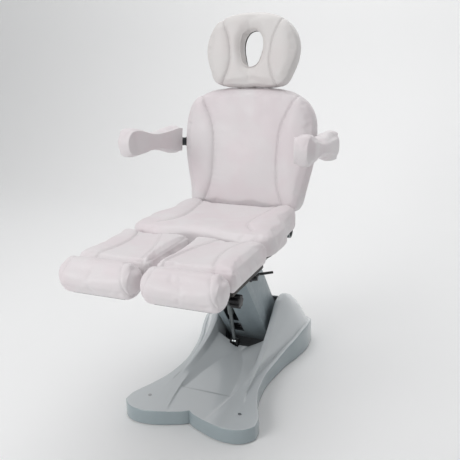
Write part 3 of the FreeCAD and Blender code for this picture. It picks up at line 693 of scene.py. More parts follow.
@dataclass
class Pad:
    """A cushion: a blank from its CAD solid, blown up as cloth, then sewn and dressed."""

    node: str
    place: Place
    seams: tuple[Seam, ...] = ()
    cell: float = 0.006
    inset: float = 0.005
    cap: float = 0.011
    pressure: float = 4.0
    fill: float = 0.75
    smoothing: int = 6
    growth: float = 0.012
    calm: int = 3
    shaping: Optional[Callable[[Array, Array], Array]] = None
    ring: Optional[Callable[[Array], Array]] = None
    room: tuple[Triple, Triple] = ((0.0,) * 3, (0.0,) * 3)
    twin: Optional[str] = None
    obj: Optional[Object] = None

    def blank(self) -> None:
        """Cuts the pad's blank: an even mesh a little inside its CAD solid."""
        self.obj = merged_copy(self.node, "pad_" + self.node)
        cells = self.obj.modifiers.new("cells", "REMESH")
        cells.mode = "VOXEL"
        cells.voxel_size = self.cell
        smooth = self.obj.modifiers.new("smooth", "SMOOTH")
        smooth.factor = 0.5
        smooth.iterations = self.smoothing
        settle(self.obj)
        mesh = self.obj.data
        put_points(mesh, points_of(mesh) - normals_of(mesh) * self.inset)

    def fill_with_foam(self) -> None:
        """Adds the cloth that swells the blank, held at its board side."""
        held = self.obj.vertex_groups.new(name="held")
        back = np.nonzero(normals_of(self.obj.data) @ np.array(self.place.out) < -0.6)[0]
        held.add(back.tolist(), 1.0, "REPLACE")
        cloth = self.obj.modifiers.new("swell", "CLOTH")
        cover = cloth.settings
        for setting, value in CLOTH.items():
            setattr(cover, setting, value)
        cover.uniform_pressure_force = self.pressure
        cover.effector_weights.gravity = 0.0
        cover.shrink_min = -self.growth
        cloth.collision_settings.use_collision = False
        cloth.point_cache.frame_start = 1
        cloth.point_cache.frame_end = SWELL_FRAMES

    def take_up(self, moved: Array) -> None:
        """Keeps the swollen shape, with no point further than the cap."""
        rest = points_of(self.obj.data)
        shift = moved - rest
        reach = np.linalg.norm(shift, axis=1, keepdims=True)
        put_points(self.obj.data, rest + shift * np.minimum(1.0, self.cap / (reach + 1e-9)))

    def refit(self) -> None:
        """Calms the swollen pad's folds and stretches it to its CAD solid's space plus its room."""
        calm = self.obj.modifiers.new("calm", "SMOOTH")
        calm.factor = 0.5
        calm.iterations = self.calm
        settle(self.obj)
        solid = self.place.inside(points_of(frame["nodes"][self.node].data))
        low, high = solid.min(axis=0) - self.room[0], solid.max(axis=0) + self.room[1]
        local = self.place.inside(points_of(self.obj.data))
        start, end = local.min(axis=0), local.max(axis=0)
        put_points(self.obj.data, self.place.outside(
            low + (local - start) / (end - start) * (high - low)))

    def sew(self) -> None:
        """Draws the sewn lines and the pad's own form into the mesh."""
        self.refit()
        self.settle_on_seams()
        finer = self.obj.modifiers.new("finer", "SUBSURF")
        finer.levels = finer.render_levels = 1
        settle(self.obj)
        mesh = self.obj.data
        normal = normals_of(mesh)
        local = self.place.inside(points_of(mesh))
        facing = normal @ np.array(self.place.out)
        if self.shaping:
            local = self.shaping(local, facing)
            put_points(mesh, self.place.outside(local))
            normal = normals_of(mesh)
            facing = normal @ np.array(self.place.out)
        sink, crease = self.sewn(local, facing)
        put_points(mesh, self.place.outside(local) - normal * sink[:, None])
        # the crease mark carries painted shade for the seam grooves; the upholstery material reads it
        mark = mesh.attributes.new("crease", "FLOAT", "POINT")
        mark.data.foreach_set("value", crease.astype(np.float32))
        mesh.shade_smooth()

    def settle_on_seams(self) -> None:
        """Moves the nearest points of the even mesh onto the sewn lines."""
        mesh = self.obj.data
        local = self.place.inside(points_of(mesh))
        facing = normals_of(mesh) @ np.array(self.place.out)
        for seam in self.seams:
            line = seam.line()
            gap, signed, _ = nearest_on(line, local[:, :2])
            near = (gap < self.cell * 0.5) & (facing > 0.2)
            ahead = nearest_on(line, local[near, :2] + np.array([1e-4, 0.0]))[1] - signed[near]
            beside = nearest_on(line, local[near, :2] + np.array([0.0, 1e-4]))[1] - signed[near]
            slope = np.column_stack([ahead, beside]) / 1e-4
            local[near, :2] -= slope * signed[near][:, None]
        put_points(mesh, self.place.outside(local))

    def sewn(self, local: Array, facing: Array) -> tuple[Array, Array]:
        """How far each point sinks at the seams, and how much painted shade darkens the crease there.
        """
        sink, crease = np.zeros(len(local)), np.zeros(len(local))
        seen = soft_step(facing, -0.35, 0.25)
        for seam in self.seams:
            gap, _, along = nearest_on(seam.line(), local[:, :2])
            near = np.exp(-gap / seam.width)
            swell = 0.32 * (gap / (2.4 * seam.width)) * np.exp(1 - gap / (2.4 * seam.width))
            pucker = np.sin(along * 2 * math.pi / PUCKER_PITCH + 2.0 * np.sin(along * 41.0))
            wave = 0.12 * pucker * np.exp(-gap / (3.2 * seam.width))
            sink = np.maximum(sink, 0) + seen * seam.depth * (near - swell + wave)
            # painted shade along each seam groove
            crease = np.maximum(crease, seen * np.exp(-gap / 0.0018))
        if self.ring:
            gap = self.ring(local)
            wave = np.sin(local[:, 1] * 190.0 + local[:, 0] * 150.0) * np.exp(-gap / 0.016)
            sink = sink + RING_DEPTH * (np.exp(-gap / 0.005) + 0.16 * wave)
            # painted shade along the seams that join the roll's end panels
            crease = np.maximum(crease, 0.7 * np.exp(-gap / 0.0018))
        return sink, crease

    def topstitch(self, tree: Repeat, name: str) -> Optional[Object]:
        """Lays the thread stitches beside the seams, on the finished surface."""
        points, edges = [], []
        surface = BVHTree.FromPolygons([v.co for v in self.obj.data.vertices],
                                       [tuple(p.vertices) for p in self.obj.data.polygons])
        away = Vector(self.place.out)
        for seam in self.seams:
            line = flow(seam.points, 40 * len(seam.points))
            way = np.gradient(line, axis=0)
            aside = np.column_stack([-way[:, 1], way[:, 0]]) / np.linalg.norm(way, axis=1)[:, None]
            for offset in (-STITCH_OFFSET, STITCH_OFFSET):
                fresh = True
                for x, t in line + aside * offset:
                    start = Vector(self.place.outside(np.array([[x, t, 0.12]]))[0])
                    hit, normal, _, _ = surface.ray_cast(start, -away, 0.2)
                    if hit is None or normal.dot(away) < 0.35:
                        fresh = True
                        continue
                    points.append(hit + normal * 0.0001)
                    if not fresh:
                        edges.append((len(points) - 2, len(points) - 1))
                    fresh = False
        if not edges:
            return None
        path = built(name, points, [], edges)
        return tree.grow(path, SHOP.of(THREAD), **STITCH)


def swell_all(pads: list[Pad]) -> None:
    """Blows up every blank in one run of the cloth solver.

    Args:
        pads: the pads, each with its blank cut.
    """
    scene = bpy.context.scene
    for pad in pads:
        pad.fill_with_foam()
    for step in range(1, SWELL_FRAMES + 1):
        scene.frame_set(step)
    graph = bpy.context.evaluated_depsgraph_get()
    for pad in pads:
        moved = points_of(pad.obj.evaluated_get(graph).data)
        pad.obj.modifiers.clear()
        pad.take_up(moved)
        pad.obj.vertex_groups.clear()
    scene.frame_set(1)


# ---- the shapes of the cushions ------------------------------------------------------------
def bump(value: Array, middle: float, half: float) -> Array:
    """A smooth hill of height 1 that ends half a width away from its middle."""
    u = np.clip(np.abs(value - middle) / half, 0.0, 1.0)
    return (1 - u * u) ** 2


def roundover(local: Array, low: Array, high: Array, radii: Array) -> Array:
    """Eases the corners of a boxy pad to larger radii, leaving its faces where they are.

    Args:
        local: the points.
        low: the box's low corner.
        high: the box's high corner.
        radii: how far the rounding reaches in from the box along each axis.

    Returns:
        The eased points.
    """
    inner = np.clip(local, low + radii, high - radii)
    part = (local - inner) / radii
    return inner + part * softened(part, 5.0, 2.0)[:, None] * radii


def softened(part: Array, boxy: float, round_: float) -> Array:
    """The factor that turns a boxy cross-section into a rounder one.

    Args:
        part: offsets from the middle, 1 at the faces.
        boxy: the exponent of the shape as it is.
        round_: the exponent of the shape wanted.

    Returns:
        What to multiply each offset by.
    """
    size = np.abs(part) + 1e-9
    return ((size**boxy).sum(axis=1) ** (1 / boxy)) / ((size**round_).sum(axis=1) ** (1 / round_))


ARM_OUTSIDE, ARM_THICK, ARM_PLATE = 0.412, 0.070, 0.0092
ARM_MIDDLE, ARM_HALF, ARM_INSIDE = 0.3725, 0.0395, 0.3322


def shape_arm(local: Array, facing: Array) -> Array:
    """A pad that covers its steel plate, rounder in section, with a blunt front end."""
    down, t, h = local.T
    h = ARM_OUTSIDE - (ARM_OUTSIDE - h) * (1 + ARM_PLATE / ARM_THICK)
    tall = ease(((-0.456, 0.050), (-0.432, 0.056), (-0.372, 0.058), (-0.29, 0.044),
                 (-0.18, 0.043), (-0.07, 0.058), (0.0, 0.063)), t)
    slant = math.tan(math.radians(5.7)) * t
    part = np.column_stack([(h - ARM_MIDDLE) / ARM_HALF, (down - slant) / tall])
    part *= softened(part, 6.0, 2.7)[:, None]
    front = soft_step(-t, 0.395, 0.456)
    h = ARM_MIDDLE + ARM_HALF * part[:, 0]
    h = np.where(facing < -0.5, np.minimum(h, ARM_INSIDE), h)
    h = ARM_MIDDLE + (h - ARM_MIDDLE) * (1 - 0.26 * front**2)
    return np.column_stack([slant + tall * part[:, 1], t, h])


ROLL_X, ROLL_HALF_LENGTH = 0.15475, 0.14425
ROLL_Y, ROLL_HALF_WIDTH = -0.732, 0.061
ROLL_CAD_HALF_HEIGHT, ROLL_HALF_HEIGHT = 0.0565, 0.0605
ROLL_STRAIGHT, ROLL_FLAT = 0.74, 0.36


def shape_foot(local: Array, facing: Array) -> Array:
    """A full roll with domed ends."""
    x, t, h = local.T
    across = (x - ROLL_X) / ROLL_HALF_LENGTH
    turn = np.column_stack([(t - ROLL_Y) / ROLL_HALF_WIDTH,
                            (h + ROLL_CAD_HALF_HEIGHT) / ROLL_CAD_HALF_HEIGHT])
    turn *= softened(turn, 4.2, 2.15)[:, None]
    reach = np.linalg.norm(turn, axis=1) + 1e-9
    ends = np.clip((np.abs(across) - ROLL_STRAIGHT) / (1 - ROLL_STRAIGHT), 0, None)
    rim = np.clip((reach - ROLL_FLAT) / (1 - ROLL_FLAT), 0, None)
    ease_in = softened(np.column_stack([ends, rim]), 5.0, 2.0)
    ease_in = np.where((ends > 0) & (rim > 0), ease_in, 1.0)
    across = np.sign(across) * (np.minimum(np.abs(across), ROLL_STRAIGHT)
                                + (1 - ROLL_STRAIGHT) * ends * ease_in)
    turn *= ((np.minimum(reach, ROLL_FLAT) + (1 - ROLL_FLAT) * rim * ease_in) / reach)[:, None]
    return np.column_stack([ROLL_X + ROLL_HALF_LENGTH * across, ROLL_Y + ROLL_HALF_WIDTH * turn[:, 0],
                            ROLL_HALF_HEIGHT * (turn[:, 1] - 1)])


def foot_ring(local: Array) -> Array:
    """The distance to the curved seams that join a roll's end panels."""
    x, t, h = local.T
    angle = np.degrees(np.arctan2(ROLL_Y - t, h + ROLL_HALF_HEIGHT))
    reach = ease(((-180.0, 0.020), (-60.0, 0.048), (0.0, 0.047), (45.0, 0.040), (90.0, 0.027),
                  (140.0, 0.014), (180.0, 0.012)), angle)
    return np.abs(ROLL_HALF_LENGTH - np.abs(x - ROLL_X) - reach)


def shape_back(local: Array, facing: Array) -> Array:
    """Raised side bolsters, a crowned centre and a lumbar swell."""
    x, t, h = local.T
    side = np.abs(x)
    front = soft_step(facing, 0.0, 0.7)
    seam_x = ease(BACK_SEAM_WIDTHS, t)
    beyond = np.clip((side - seam_x) / (0.285 - seam_x), 0.0, 1.0)
    bolster = 0.010 * np.sin(np.pi * np.clip(beyond, 0, 1) ** 0.8)
    centre = 0.007 * np.clip(1 - (side / seam_x) ** 2, 0, 1) * bump(t, 0.36, 0.32)
    lumbar = 0.004 * bump(t, 0.27, 0.14) * bump(x, 0.0, 0.16)
    dip = -0.003 * bump(t, 0.46, 0.10) * bump(x, 0.0, 0.14)
    h = h + front * (bolster + centre + lumbar + dip - 0.003)
    pull = 1.0 - 0.008 * bump(t, 0.25, 0.12) * (side > 0.2)
    return np.column_stack([x * pull, t, h])


BACK_SEAM_WIDTHS = ((0.11, 0.192), (0.156, 0.181), (0.22, 0.160), (0.294, 0.150),
                    (0.415, 0.150), (0.487, 0.160), (0.55, 0.185), (0.609, 0.217), (0.66, 0.25))
BACK_SEAM = Seam(tuple((w, t) for t, w in BACK_SEAM_WIDTHS), 0.0034, 0.007)


def shape_seat(local: Array, facing: Array) -> Array:
    """A dished seat between two bolsters, with a rolled wavy front."""
    x, t, h = local.T
    top = soft_step(facing, 0.0, 0.7)
    side = np.abs(x)
    seam_x = ease(SEAT_SEAM_WIDTHS, t)
    beyond = np.clip((side - seam_x) / (0.285 - seam_x), 0.0, 1.0)
    bolster = 0.008 * np.sin(np.pi * beyond ** 0.75) * soft_step(t, -0.30, -0.19)
    dish = -0.013 * np.clip(1 - (side / 0.19) ** 2, 0, 1) * bump(t, -0.02, 0.22)
    waterfall = -0.010 * soft_step(-t, 0.285, 0.345) * (1 - 0.5 * bump(side, 0.18, 0.09))
    h = h + top * (bolster + dish + waterfall + 0.002)
    return np.column_stack([x, t, h])


SEAT_SEAM_WIDTHS = ((-0.345, 0.262), (-0.30, 0.232), (-0.255, 0.200), (-0.222, 0.172),
                    (-0.175, 0.151), (-0.12, 0.145), (-0.04, 0.150), (0.06, 0.164), (0.15, 0.182))
SEAT_SEAM = Seam(tuple((w, t) for t, w in SEAT_SEAM_WIDTHS[2:]), 0.0026, 0.009)


def shape_leg(local: Array, facing: Array) -> Array:
    """Two raised side rolls beside a hollowed calf panel."""
    x, t, h = local.T
    top = soft_step(facing, 0.0, 0.7)
    inner = ease(LEG_INNER_WIDTHS, t)
    outer = ease(LEG_OUTER_WIDTHS, t)
    panel = np.clip((x - inner) / (outer - inner), 0.0, 1.0)
    hollow = -0.005 * np.sin(np.pi * panel) ** 0.8
    near = 0.003 * np.sin(np.pi * np.clip((inner - x) / (inner - 0.014), 0, 1) ** 0.8)
    far = 0.005 * np.sin(np.pi * np.clip((x - outer) / (0.295 - outer), 0, 1) ** 0.8)
    ends = 1 - 0.75 * soft_step(np.abs(t + 0.505), 0.115, 0.162)
    h = h + top * (hollow + near + far) * ends
    h = h - 0.006 * soft_step(t, -0.375, -0.341) * top
    pull = 0.0028 * np.cos(np.clip((t + 0.505) / 0.164, -1, 1) * np.pi / 2)
    x = x + pull * np.where(x > 0.155, -1.0, 1.0) * soft_step(np.abs(x - 0.155), 0.10, 0.14)
    low, high = np.array([0.0105, -0.668, -0.079]), np.array([0.299, -0.341, 0.010])
    return roundover(np.column_stack([x, t, h]), low, high, np.array([0.017, 0.022, 0.028]))


LEG_INNER_WIDTHS = ((-0.69, 0.036), (-0.668, 0.040), (-0.60, 0.050), (-0.52, 0.068),
                    (-0.45, 0.088), (-0.39, 0.112), (-0.32, 0.138))
LEG_OUTER_WIDTHS = ((-0.69, 0.228), (-0.655, 0.220), (-0.61, 0.205), (-0.55, 0.193),
                    (-0.48, 0.189), (-0.42, 0.199), (-0.37, 0.222), (-0.32, 0.250))
LEG_SEAMS = (Seam(tuple((w, t) for t, w in LEG_INNER_WIDTHS), 0.0028, 0.008),
             Seam(tuple((w, t) for t, w in LEG_OUTER_WIDTHS), 0.0030, 0.008))


def shape_pillow(local: Array, facing: Array) -> Array:
    """Raised wings and an edge rolled softly into the face hole."""
    x, t, h = local.T
    front = soft_step(facing, 0.0, 0.7)
    side = np.abs(x)
    seam_x = ease(PILLOW_SEAM_WIDTHS, t)
    beyond = np.clip((side - seam_x) / (0.20 - seam_x), 0.0, 1.0)
    wing = 0.007 * np.sin(np.pi * beyond ** 0.8)
    rim = np.hypot(x / 0.050, (t - 0.174) / 0.083) - 1.0
    funnel = -0.016 * np.exp(-np.clip(rim, 0, None) / 0.42)
    centre = 0.004 * np.clip(1 - (side / seam_x) ** 2, 0, 1)
    h = h + front * (wing + funnel + centre)
    return np.column_stack([x, t, h])


PILLOW_SEAM_WIDTHS = ((0.0, 0.134), (0.042, 0.113), (0.09, 0.096), (0.136, 0.090),
                      (0.215, 0.102), (0.283, 0.132), (0.33, 0.158))
PILLOW_SEAM = Seam(tuple((w, t) for t, w in PILLOW_SEAM_WIDTHS), 0.0038, 0.006)


# ---- the base cover -----------------------------------------------------------------------
JACK_X = -0.042


@dataclass
class BaseCover:
    """The moulded fish-tail cover with its two humps, channel and ledge."""

    rim: float = 0.005
    wall: float = 0.004
    well: tuple[float, float] = (0.137, 0.432)
    well_columns: int = 24

    def half_width(self, y: Array) -> Array:
        """Half the width of the cover's top at each station."""
        return ease(((-0.455, 0.280), (-0.41, 0.277), (-0.368, 0.262), (-0.315, 0.239),
                     (-0.204, 0.205), (-0.084, 0.194), (0.043, 0.205), (0.139, 0.221),
                     (0.23, 0.245), (0.337, 0.260), (0.44, 0.248), (0.52, 0.198)), y) - self.rim

    def stations(self) -> Array:
        """Distances along Y of the rows, closer where the form turns."""
        start, end = self.well
        spans = ((-0.450, -0.285, 46), (-0.285, -0.268, 9), (-0.268, start - 0.002, 92),
                 (start, end, 76), (end + 0.002, 0.515, 26))
        return np.concatenate([np.linspace(a, b, n, endpoint=False) for a, b, n in spans]
                              + [np.array([0.515])])

    def section(self, y: Array) -> list[tuple[Array, Array]]:
        """The half section at each station, as (x, z) feature lines from the middle out."""
        width = self.half_width(y)
        floor = ease(((-0.45, 0.0600), (-0.40, 0.0570), (-0.31, 0.0555), (-0.288, 0.0545),
                      (-0.268, 0.0475), (-0.10, 0.0485), (0.10, 0.058), (0.136, 0.0605),
                      (0.432, 0.205), (0.47, 0.174), (0.52, 0.108)), y)
        floor_x = ease(((-0.45, 0.072), (-0.42, 0.079), (-0.28, 0.103), (-0.2, 0.094),
                        (-0.10, 0.080), (0.0, 0.054), (0.10, 0.014), (0.16, 0.03),
                        (0.43, 0.05), (0.52, 0.05)), y)
        in_well = (y > self.well[0] - 0.001) & (y < self.well[1] + 0.001)
        foot_x = ease(((-0.45, 0.085), (-0.42, 0.092), (-0.28, 0.118), (-0.15, 0.126),
                       (0.0, 0.120), (0.43, 0.121), (0.52, 0.110)), y)
        foot_z = ease(((-0.45, 0.0615), (-0.30, 0.0615), (-0.2, 0.0635), (-0.10, 0.072),
                       (0.0, 0.088), (0.10, 0.110), (0.136, 0.118), (0.432, 0.208),
                       (0.47, 0.178), (0.52, 0.106)), y)
        foot_z = np.where(in_well, 0.030, foot_z)
        crest_x = ease(((-0.45, 0.105), (-0.42, 0.115), (-0.30, 0.146), (-0.2, 0.148),
                        (-0.1, 0.142), (0.0, 0.134), (0.1, 0.128), (0.26, 0.127),
                        (0.43, 0.126), (0.52, 0.118)), y)
        crest_z = ease(((-0.45, 0.0625), (-0.36, 0.0630), (-0.25, 0.0665), (-0.15, 0.078),
                        (-0.03, 0.106), (0.10, 0.160), (0.19, 0.232), (0.235, 0.265),
                        (0.285, 0.270), (0.34, 0.256), (0.43, 0.210), (0.52, 0.103)), y)
        top_x = ease(((-0.45, 0.150), (-0.3, 0.170), (-0.15, 0.158), (0.10, 0.152),
                      (0.20, 0.154), (0.27, 0.160), (0.43, 0.158), (0.52, 0.13)), y)
        top_z = ease(((-0.45, 0.0630), (-0.33, 0.0640), (-0.25, 0.0675), (-0.15, 0.077),
                      (-0.03, 0.103), (0.10, 0.162), (0.19, 0.241), (0.24, 0.279),
                      (0.28, 0.286), (0.34, 0.268), (0.43, 0.212), (0.52, 0.100)), y)
        side_z = ease(((-0.45, 0.0625), (-0.15, 0.0635), (-0.03, 0.0665), (0.06, 0.074),
                       (0.14, 0.087), (0.22, 0.106), (0.30, 0.121), (0.36, 0.121),
                       (0.44, 0.106), (0.52, 0.084)), y)
        ledge = ease(((-0.45, 0.030), (-0.12, 0.022), (0.0, 0.015), (0.2, 0.010),
                      (0.34, 0.009), (0.52, 0.012)), y)
        dip = ease(((-0.45, 0.0), (-0.16, 0.0), (-0.02, 0.005), (0.10, 0.007), (0.2, 0.004),
                    (0.30, 0.001), (0.52, 0.0)), y)
        valley_x = width - ledge - ease(((-0.45, 0.02), (0.0, 0.012), (0.2, 0.007),
                                         (0.52, 0.006)), y)
        flank_x = top_x * 0.46 + valley_x * 0.54
        flank_z = top_z * 0.60 + side_z * 0.40 - 0.3 * dip
        return [(np.zeros_like(y), floor), (floor_x, floor), (foot_x, foot_z), (crest_x, crest_z),
                (top_x, top_z), (flank_x, flank_z), (valley_x, side_z - dip),
                (width - ledge * 0.8, side_z), (width, side_z - 0.0005)]

    def columns(self, y: Array) -> tuple[Array, Array]:
        """The full cross-section rows: x and z of every grid point."""
        features = self.section(y)
        counts = (12, 12, 11, 7, 12, 12, 7, 7)
        tension = (0.1, 0.30, 0.12, 0.45, 0.8, 0.8, 0.45, 0.5)
        xs, zs = [], []
        for k, count in enumerate(counts):
            before = features[max(k - 1, 0)]
            a, b = features[k], features[k + 1]
            after = features[min(k + 2, len(features) - 1)]
            for u in np.arange(count) / count:
                for axis, values in enumerate((xs, zs)):
                    values.append(self.between(before[axis], a[axis], b[axis], after[axis],
                                               u, tension[k]))
        xs.append(features[-1][0])
        zs.append(features[-1][1])
        x, z = np.array(xs).T, np.array(zs).T
        return (np.concatenate([-x[:, :0:-1], x], axis=1),
                np.concatenate([z[:, :0:-1], z], axis=1))

    @staticmethod
    def between(before: Array, a: Array, b: Array, after: Array, u: float, tension: float) -> Array:
        """A curve from a to b whose ends lean towards their neighbours by the tension."""
        start = tension * 0.5 * (b - before) + (1 - tension) * (b - a)
        end = tension * 0.5 * (after - a) + (1 - tension) * (b - a)
        return (a * (2 * u**3 - 3 * u**2 + 1) + start * (u**3 - 2 * u**2 + u)
                + b * (3 * u**2 - 2 * u**3) + end * (u**3 - u**2))

    def curled(self, x: Array, y: Array) -> Array:
        """Each grid point's Y, with the front rows bent into lobes and the rear rounded."""
        share = np.abs(x) / self.half_width(y)[:, None]
        front = ease(((0.0, 0.013), (0.10, -0.006), (0.227, -0.021), (0.36, -0.036),
                      (0.50, -0.047), (0.64, -0.052), (0.75, -0.050), (0.86, -0.040),
                      (0.95, -0.020), (1.0, 0.0)), share)
        rear = ease(((0.0, 0.034), (0.35, 0.032), (0.6, 0.026), (0.85, 0.012), (1.0, 0.0)), share)
        ahead = (1 - soft_step(y, -0.452, -0.29))[:, None]
        behind = soft_step(y, 0.40, 0.515)[:, None]
        return y[:, None] + front * ahead + rear * behind

    def build(self) -> Object:
        """The shell's mesh, with side walls that carry a painted-shade mark, the arm's well and a
        moulded thickness.
        """
        y = self.stations()
        x, z = self.columns(y)
        deep = self.curled(x, y)
        count_y, count_x = x.shape
        points = np.stack([x, deep, z], axis=2).reshape(-1, 3)
        middle = count_x // 2
        faces = []
        for i in range(count_y - 1):
            centre_y = (y[i] + y[i + 1]) / 2
            for j in range(count_x - 1):
                across = abs(j + 0.5 - middle)
                if (self.well[0] - 0.002 < centre_y < self.well[1] + 0.002
                        and across < self.well_columns):
                    continue
                if self.notched(points[i * count_x + j], points[(i + 1) * count_x + j + 1]):
                    continue
                a = i * count_x + j
                faces.append((a, a + 1, a + count_x + 1, a + count_x))
        border = (list(range(count_x))
                  + [i * count_x + count_x - 1 for i in range(1, count_y)]
                  + [(count_y - 1) * count_x + j for j in range(count_x - 2, -1, -1)]
                  + [i * count_x for i in range(count_y - 2, 0, -1)])
        all_points, wall_faces, wall_start = self.side_walls(points, border)
        obj = built("base_shell", all_points, faces + wall_faces)
        # painted shade: the wall points get a mark that the base material uses to darken them
        mark = obj.data.attributes.new("wall", "FLOAT", "POINT")
        low = soft_step(np.arange(len(all_points), dtype=float), wall_start, wall_start + 1.0)
        mark.data.foreach_set("value", (low * 0.85).astype(np.float32))
        with edited(obj.data) as work:
            loose = [v for v in work.verts if not v.link_faces]
            bmesh.ops.delete(work, geom=loose, context="VERTS")
        shell = obj.modifiers.new("thickness", "SOLIDIFY")
        shell.thickness = self.wall
        shell.offset = -1.0
        settle(obj)
        shade(obj, 50)
        return obj

    def notched(self, a: Array, b: Array) -> bool:
        """Whether a face lies in the notch for the jack's foot."""
        cx, cy = (a[0] + b[0]) / 2, (a[1] + b[1]) / 2
        return abs(cx - JACK_X) < 0.021 and 0.114 < cy < 0.14

    def side_walls(self, points: Array, border: list[int]) -> tuple[Array, list, int]:
        """Adds the rounded rim and the upright walls round the border of the top.

        Args:
            points: the top's grid points.
            border: the border's point numbers, in order round the cover.

        Returns:
            All the points, the new faces, and the number of the first wall point.
        """
        loop = points[border]
        way = np.roll(loop, -1, axis=0)[:, :2] - np.roll(loop, 1, axis=0)[:, :2]
        outward = np.column_stack([way[:, 1], -way[:, 0]])
        outward /= np.linalg.norm(outward, axis=1)[:, None] + 1e-12
        rows = [loop]
        for degrees in (22.5, 45.0, 67.5, 90.0):
            angle = math.radians(degrees)
            ring = loop.copy()
            ring[:, :2] += outward * self.rim * math.sin(angle)
            ring[:, 2] -= self.rim * (1 - math.cos(angle))
            rows.append(ring)
        steps = 7
        for k in range(1, steps + 1):
            ring = rows[4].copy()
            share = k / steps
            ring[:, 2] = rows[4][:, 2] * (1 - share) + 0.004 * share
            ring[:, :2] += outward * 0.0012 * share
            rows.append(ring)
        start = len(points)
        all_points = np.concatenate([points] + rows[1:])
        faces = []
        n = len(border)
        for r in range(len(rows) - 1):
            for k in range(n):
                m = (k + 1) % n
                if r == 0:
                    a, b = border[k], border[m]
                else:
                    a, b = start + (r - 1) * n + k, start + (r - 1) * n + m
                c, d = start + r * n + m, start + r * n + k
                faces.append((b, a, d, c))
        return all_points, faces, start + n


@dataclass(frozen=True)
class UnderPan:
    """The dark sheet that closes the chassis from below, between its rails."""

    low: Triple = (-0.124, 0.06, 0.0115)
    high: Triple = (0.124, 0.50, 0.0130)

    def build(self) -> Object:
        """A flat sheet."""
        (x0, y0, z0), (x1, y1, z1) = self.low, self.high
        points = [(x, y, z) for z in (z0, z1) for y in (y0, y1) for x in (x0, x1)]
        faces = [(0, 2, 3, 1), (4, 5, 7, 6), (0, 1, 5, 4), (2, 6, 7, 3), (0, 4, 6, 2), (1, 3, 7, 5)]
        return dress(built("under_pan", points, faces), "base", "frame_paint")


# ---- hardware -----------------------------------------------------------------------------
@dataclass(frozen=True)
class SoftEdged:
    """A steel or plastic piece whose sharp outer edges are broken by a small radius."""

    node: str
    radius: float = 0.0012
    segments: int = 2
    flat: float = math.radians(1.5)
    sharp: float = math.radians(34)

    def build(self) -> Object:
        """A bevelled copy of the CAD node that stands for it."""
        obj = merged_copy(self.node, "edged_" + self.node)
        with edited(obj.data) as work:
            bmesh.ops.dissolve_limit(work, angle_limit=self.flat, verts=work.verts,
                                     edges=work.edges)
            weight = work.edges.layers.float.new("bevel_weight_edge")
            for edge in work.edges:
                edge[weight] = float(edge.is_convex and edge.calc_face_angle(0.0) > self.sharp)
        bevel = obj.modifiers.new("edge", "BEVEL")
        bevel.width = self.radius
        bevel.segments = self.segments
        bevel.limit_method = "WEIGHT"
        settle(obj)
        shade(obj, 38)
        return dress(obj, BODY_OF[self.node], SLOT_OF[self.node], self.node)


EDGED = (SoftEdged("arm_cover_front", 0.0035, 3), SoftEdged("arm_cover_rear", 0.0035, 3),
         SoftEdged("leg_frame_left"), SoftEdged("leg_frame_right"),
         SoftEdged("clamp_knob_left", 0.0016), SoftEdged("clamp_knob_right", 0.0016))


@dataclass(frozen=True)
class Bolts:
    """A group of domed bolt heads on one body."""

    name: str
    body: str
    spots: tuple[Triple, ...]
    aim: Triple
    radius: float = 0.0065
    height: float = 0.0035
    slot: str = "screw_steel"

    def build(self, tree: Repeat) -> Object:
        """Grows the bolt heads on their spots."""
        obj = built(self.name, self.spots, [])
        mark = obj.data.attributes.new("aim", "FLOAT_VECTOR", "POINT")
        mark.data.foreach_set("vector", np.tile(np.array(self.aim, np.float32), len(self.spots)))
        tree.grow(obj, SHOP.for_slot(self.slot), Radius=self.radius, Height=self.height)
        shade(obj, 40)
        return dress(obj, self.body, self.slot)


@dataclass(frozen=True)
class Staples:
    """A row of wire staples round the rear face of a cushion's board."""

    node: str
    out: Triple
    inset: float = 0.008
    pitch: float = 0.026
    length: float = 0.0095
    wire: float = 0.0006

    def build(self, tree: Repeat) -> Object:
        """Lays the staples on their path."""
        loop = self.path()
        edges = [(i, (i + 1) % len(loop)) for i in range(len(loop))]
        path = built("staples_" + self.node, loop, [], edges)
        tree.grow(path, SHOP.for_slot("screw_steel"), Pitch=self.pitch, Length=self.length,
                  Radius=self.wire)
        return dress(path, BODY_OF[self.node], "screw_steel")

    def path(self) -> Array:
        """The outer edge of the board's rear face, drawn inwards."""
        out = Vector(self.out)
        work = bmesh.new()
        work.from_mesh(frame["nodes"][self.node].data)
        bmesh.ops.remove_doubles(work, verts=work.verts, dist=MERGE_GAP)
        rear = {f for f in work.faces if f.normal.dot(out) < -0.99}
        rim = [e for e in work.edges if sum(f in rear for f in e.link_faces) == 1]
        loops = []
        while rim:
            edge = rim.pop()
            chain = [edge.verts[0], edge.verts[1]]
            grown = True
            while grown:
                grown = next((e for e in rim if chain[-1] in e.verts), None)
                if grown:
                    rim.remove(grown)
                    chain.append(grown.other_vert(chain[-1]))
            loops.append(np.array([v.co for v in chain[:-1]], float))
        work.free()
        loop = max(loops, key=lambda points: np.ptp(points, axis=0).max())
        middle = (loop.max(axis=0) + loop.min(axis=0)) / 2
        way = np.roll(loop, -1, axis=0) - np.roll(loop, 1, axis=0)
        inward = np.cross(way, np.array(self.out))
        inward /= np.linalg.norm(inward, axis=1)[:, None] + 1e-12
        if ((middle - loop) * inward).sum() < 0:
            inward = -inward
        return loop + inward * self.inset - np.array(self.out) * 0.0003


BRACKET_FACE_X, BOLT_RISE = 0.2565, 0.021


def side_bolts() -> list[Bolts]:
    """The bolt head above each clamp knob, on the leg rest's bracket."""
    groups = []
    for side, sign in (("left", 1.0), ("right", -1.0)):
        knob_low, knob_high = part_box("clamp_knob_" + side)
        y = (knob_low.y + knob_high.y) / 2 - 0.002
        z = (knob_low.z + knob_high.z) / 2 + BOLT_RISE
        groups.append(Bolts("bracket_bolt_" + side, "leg_" + side,
                            ((sign * BRACKET_FACE_X, y, z),), (sign, 0.0, 0.0), 0.006))
    return groups


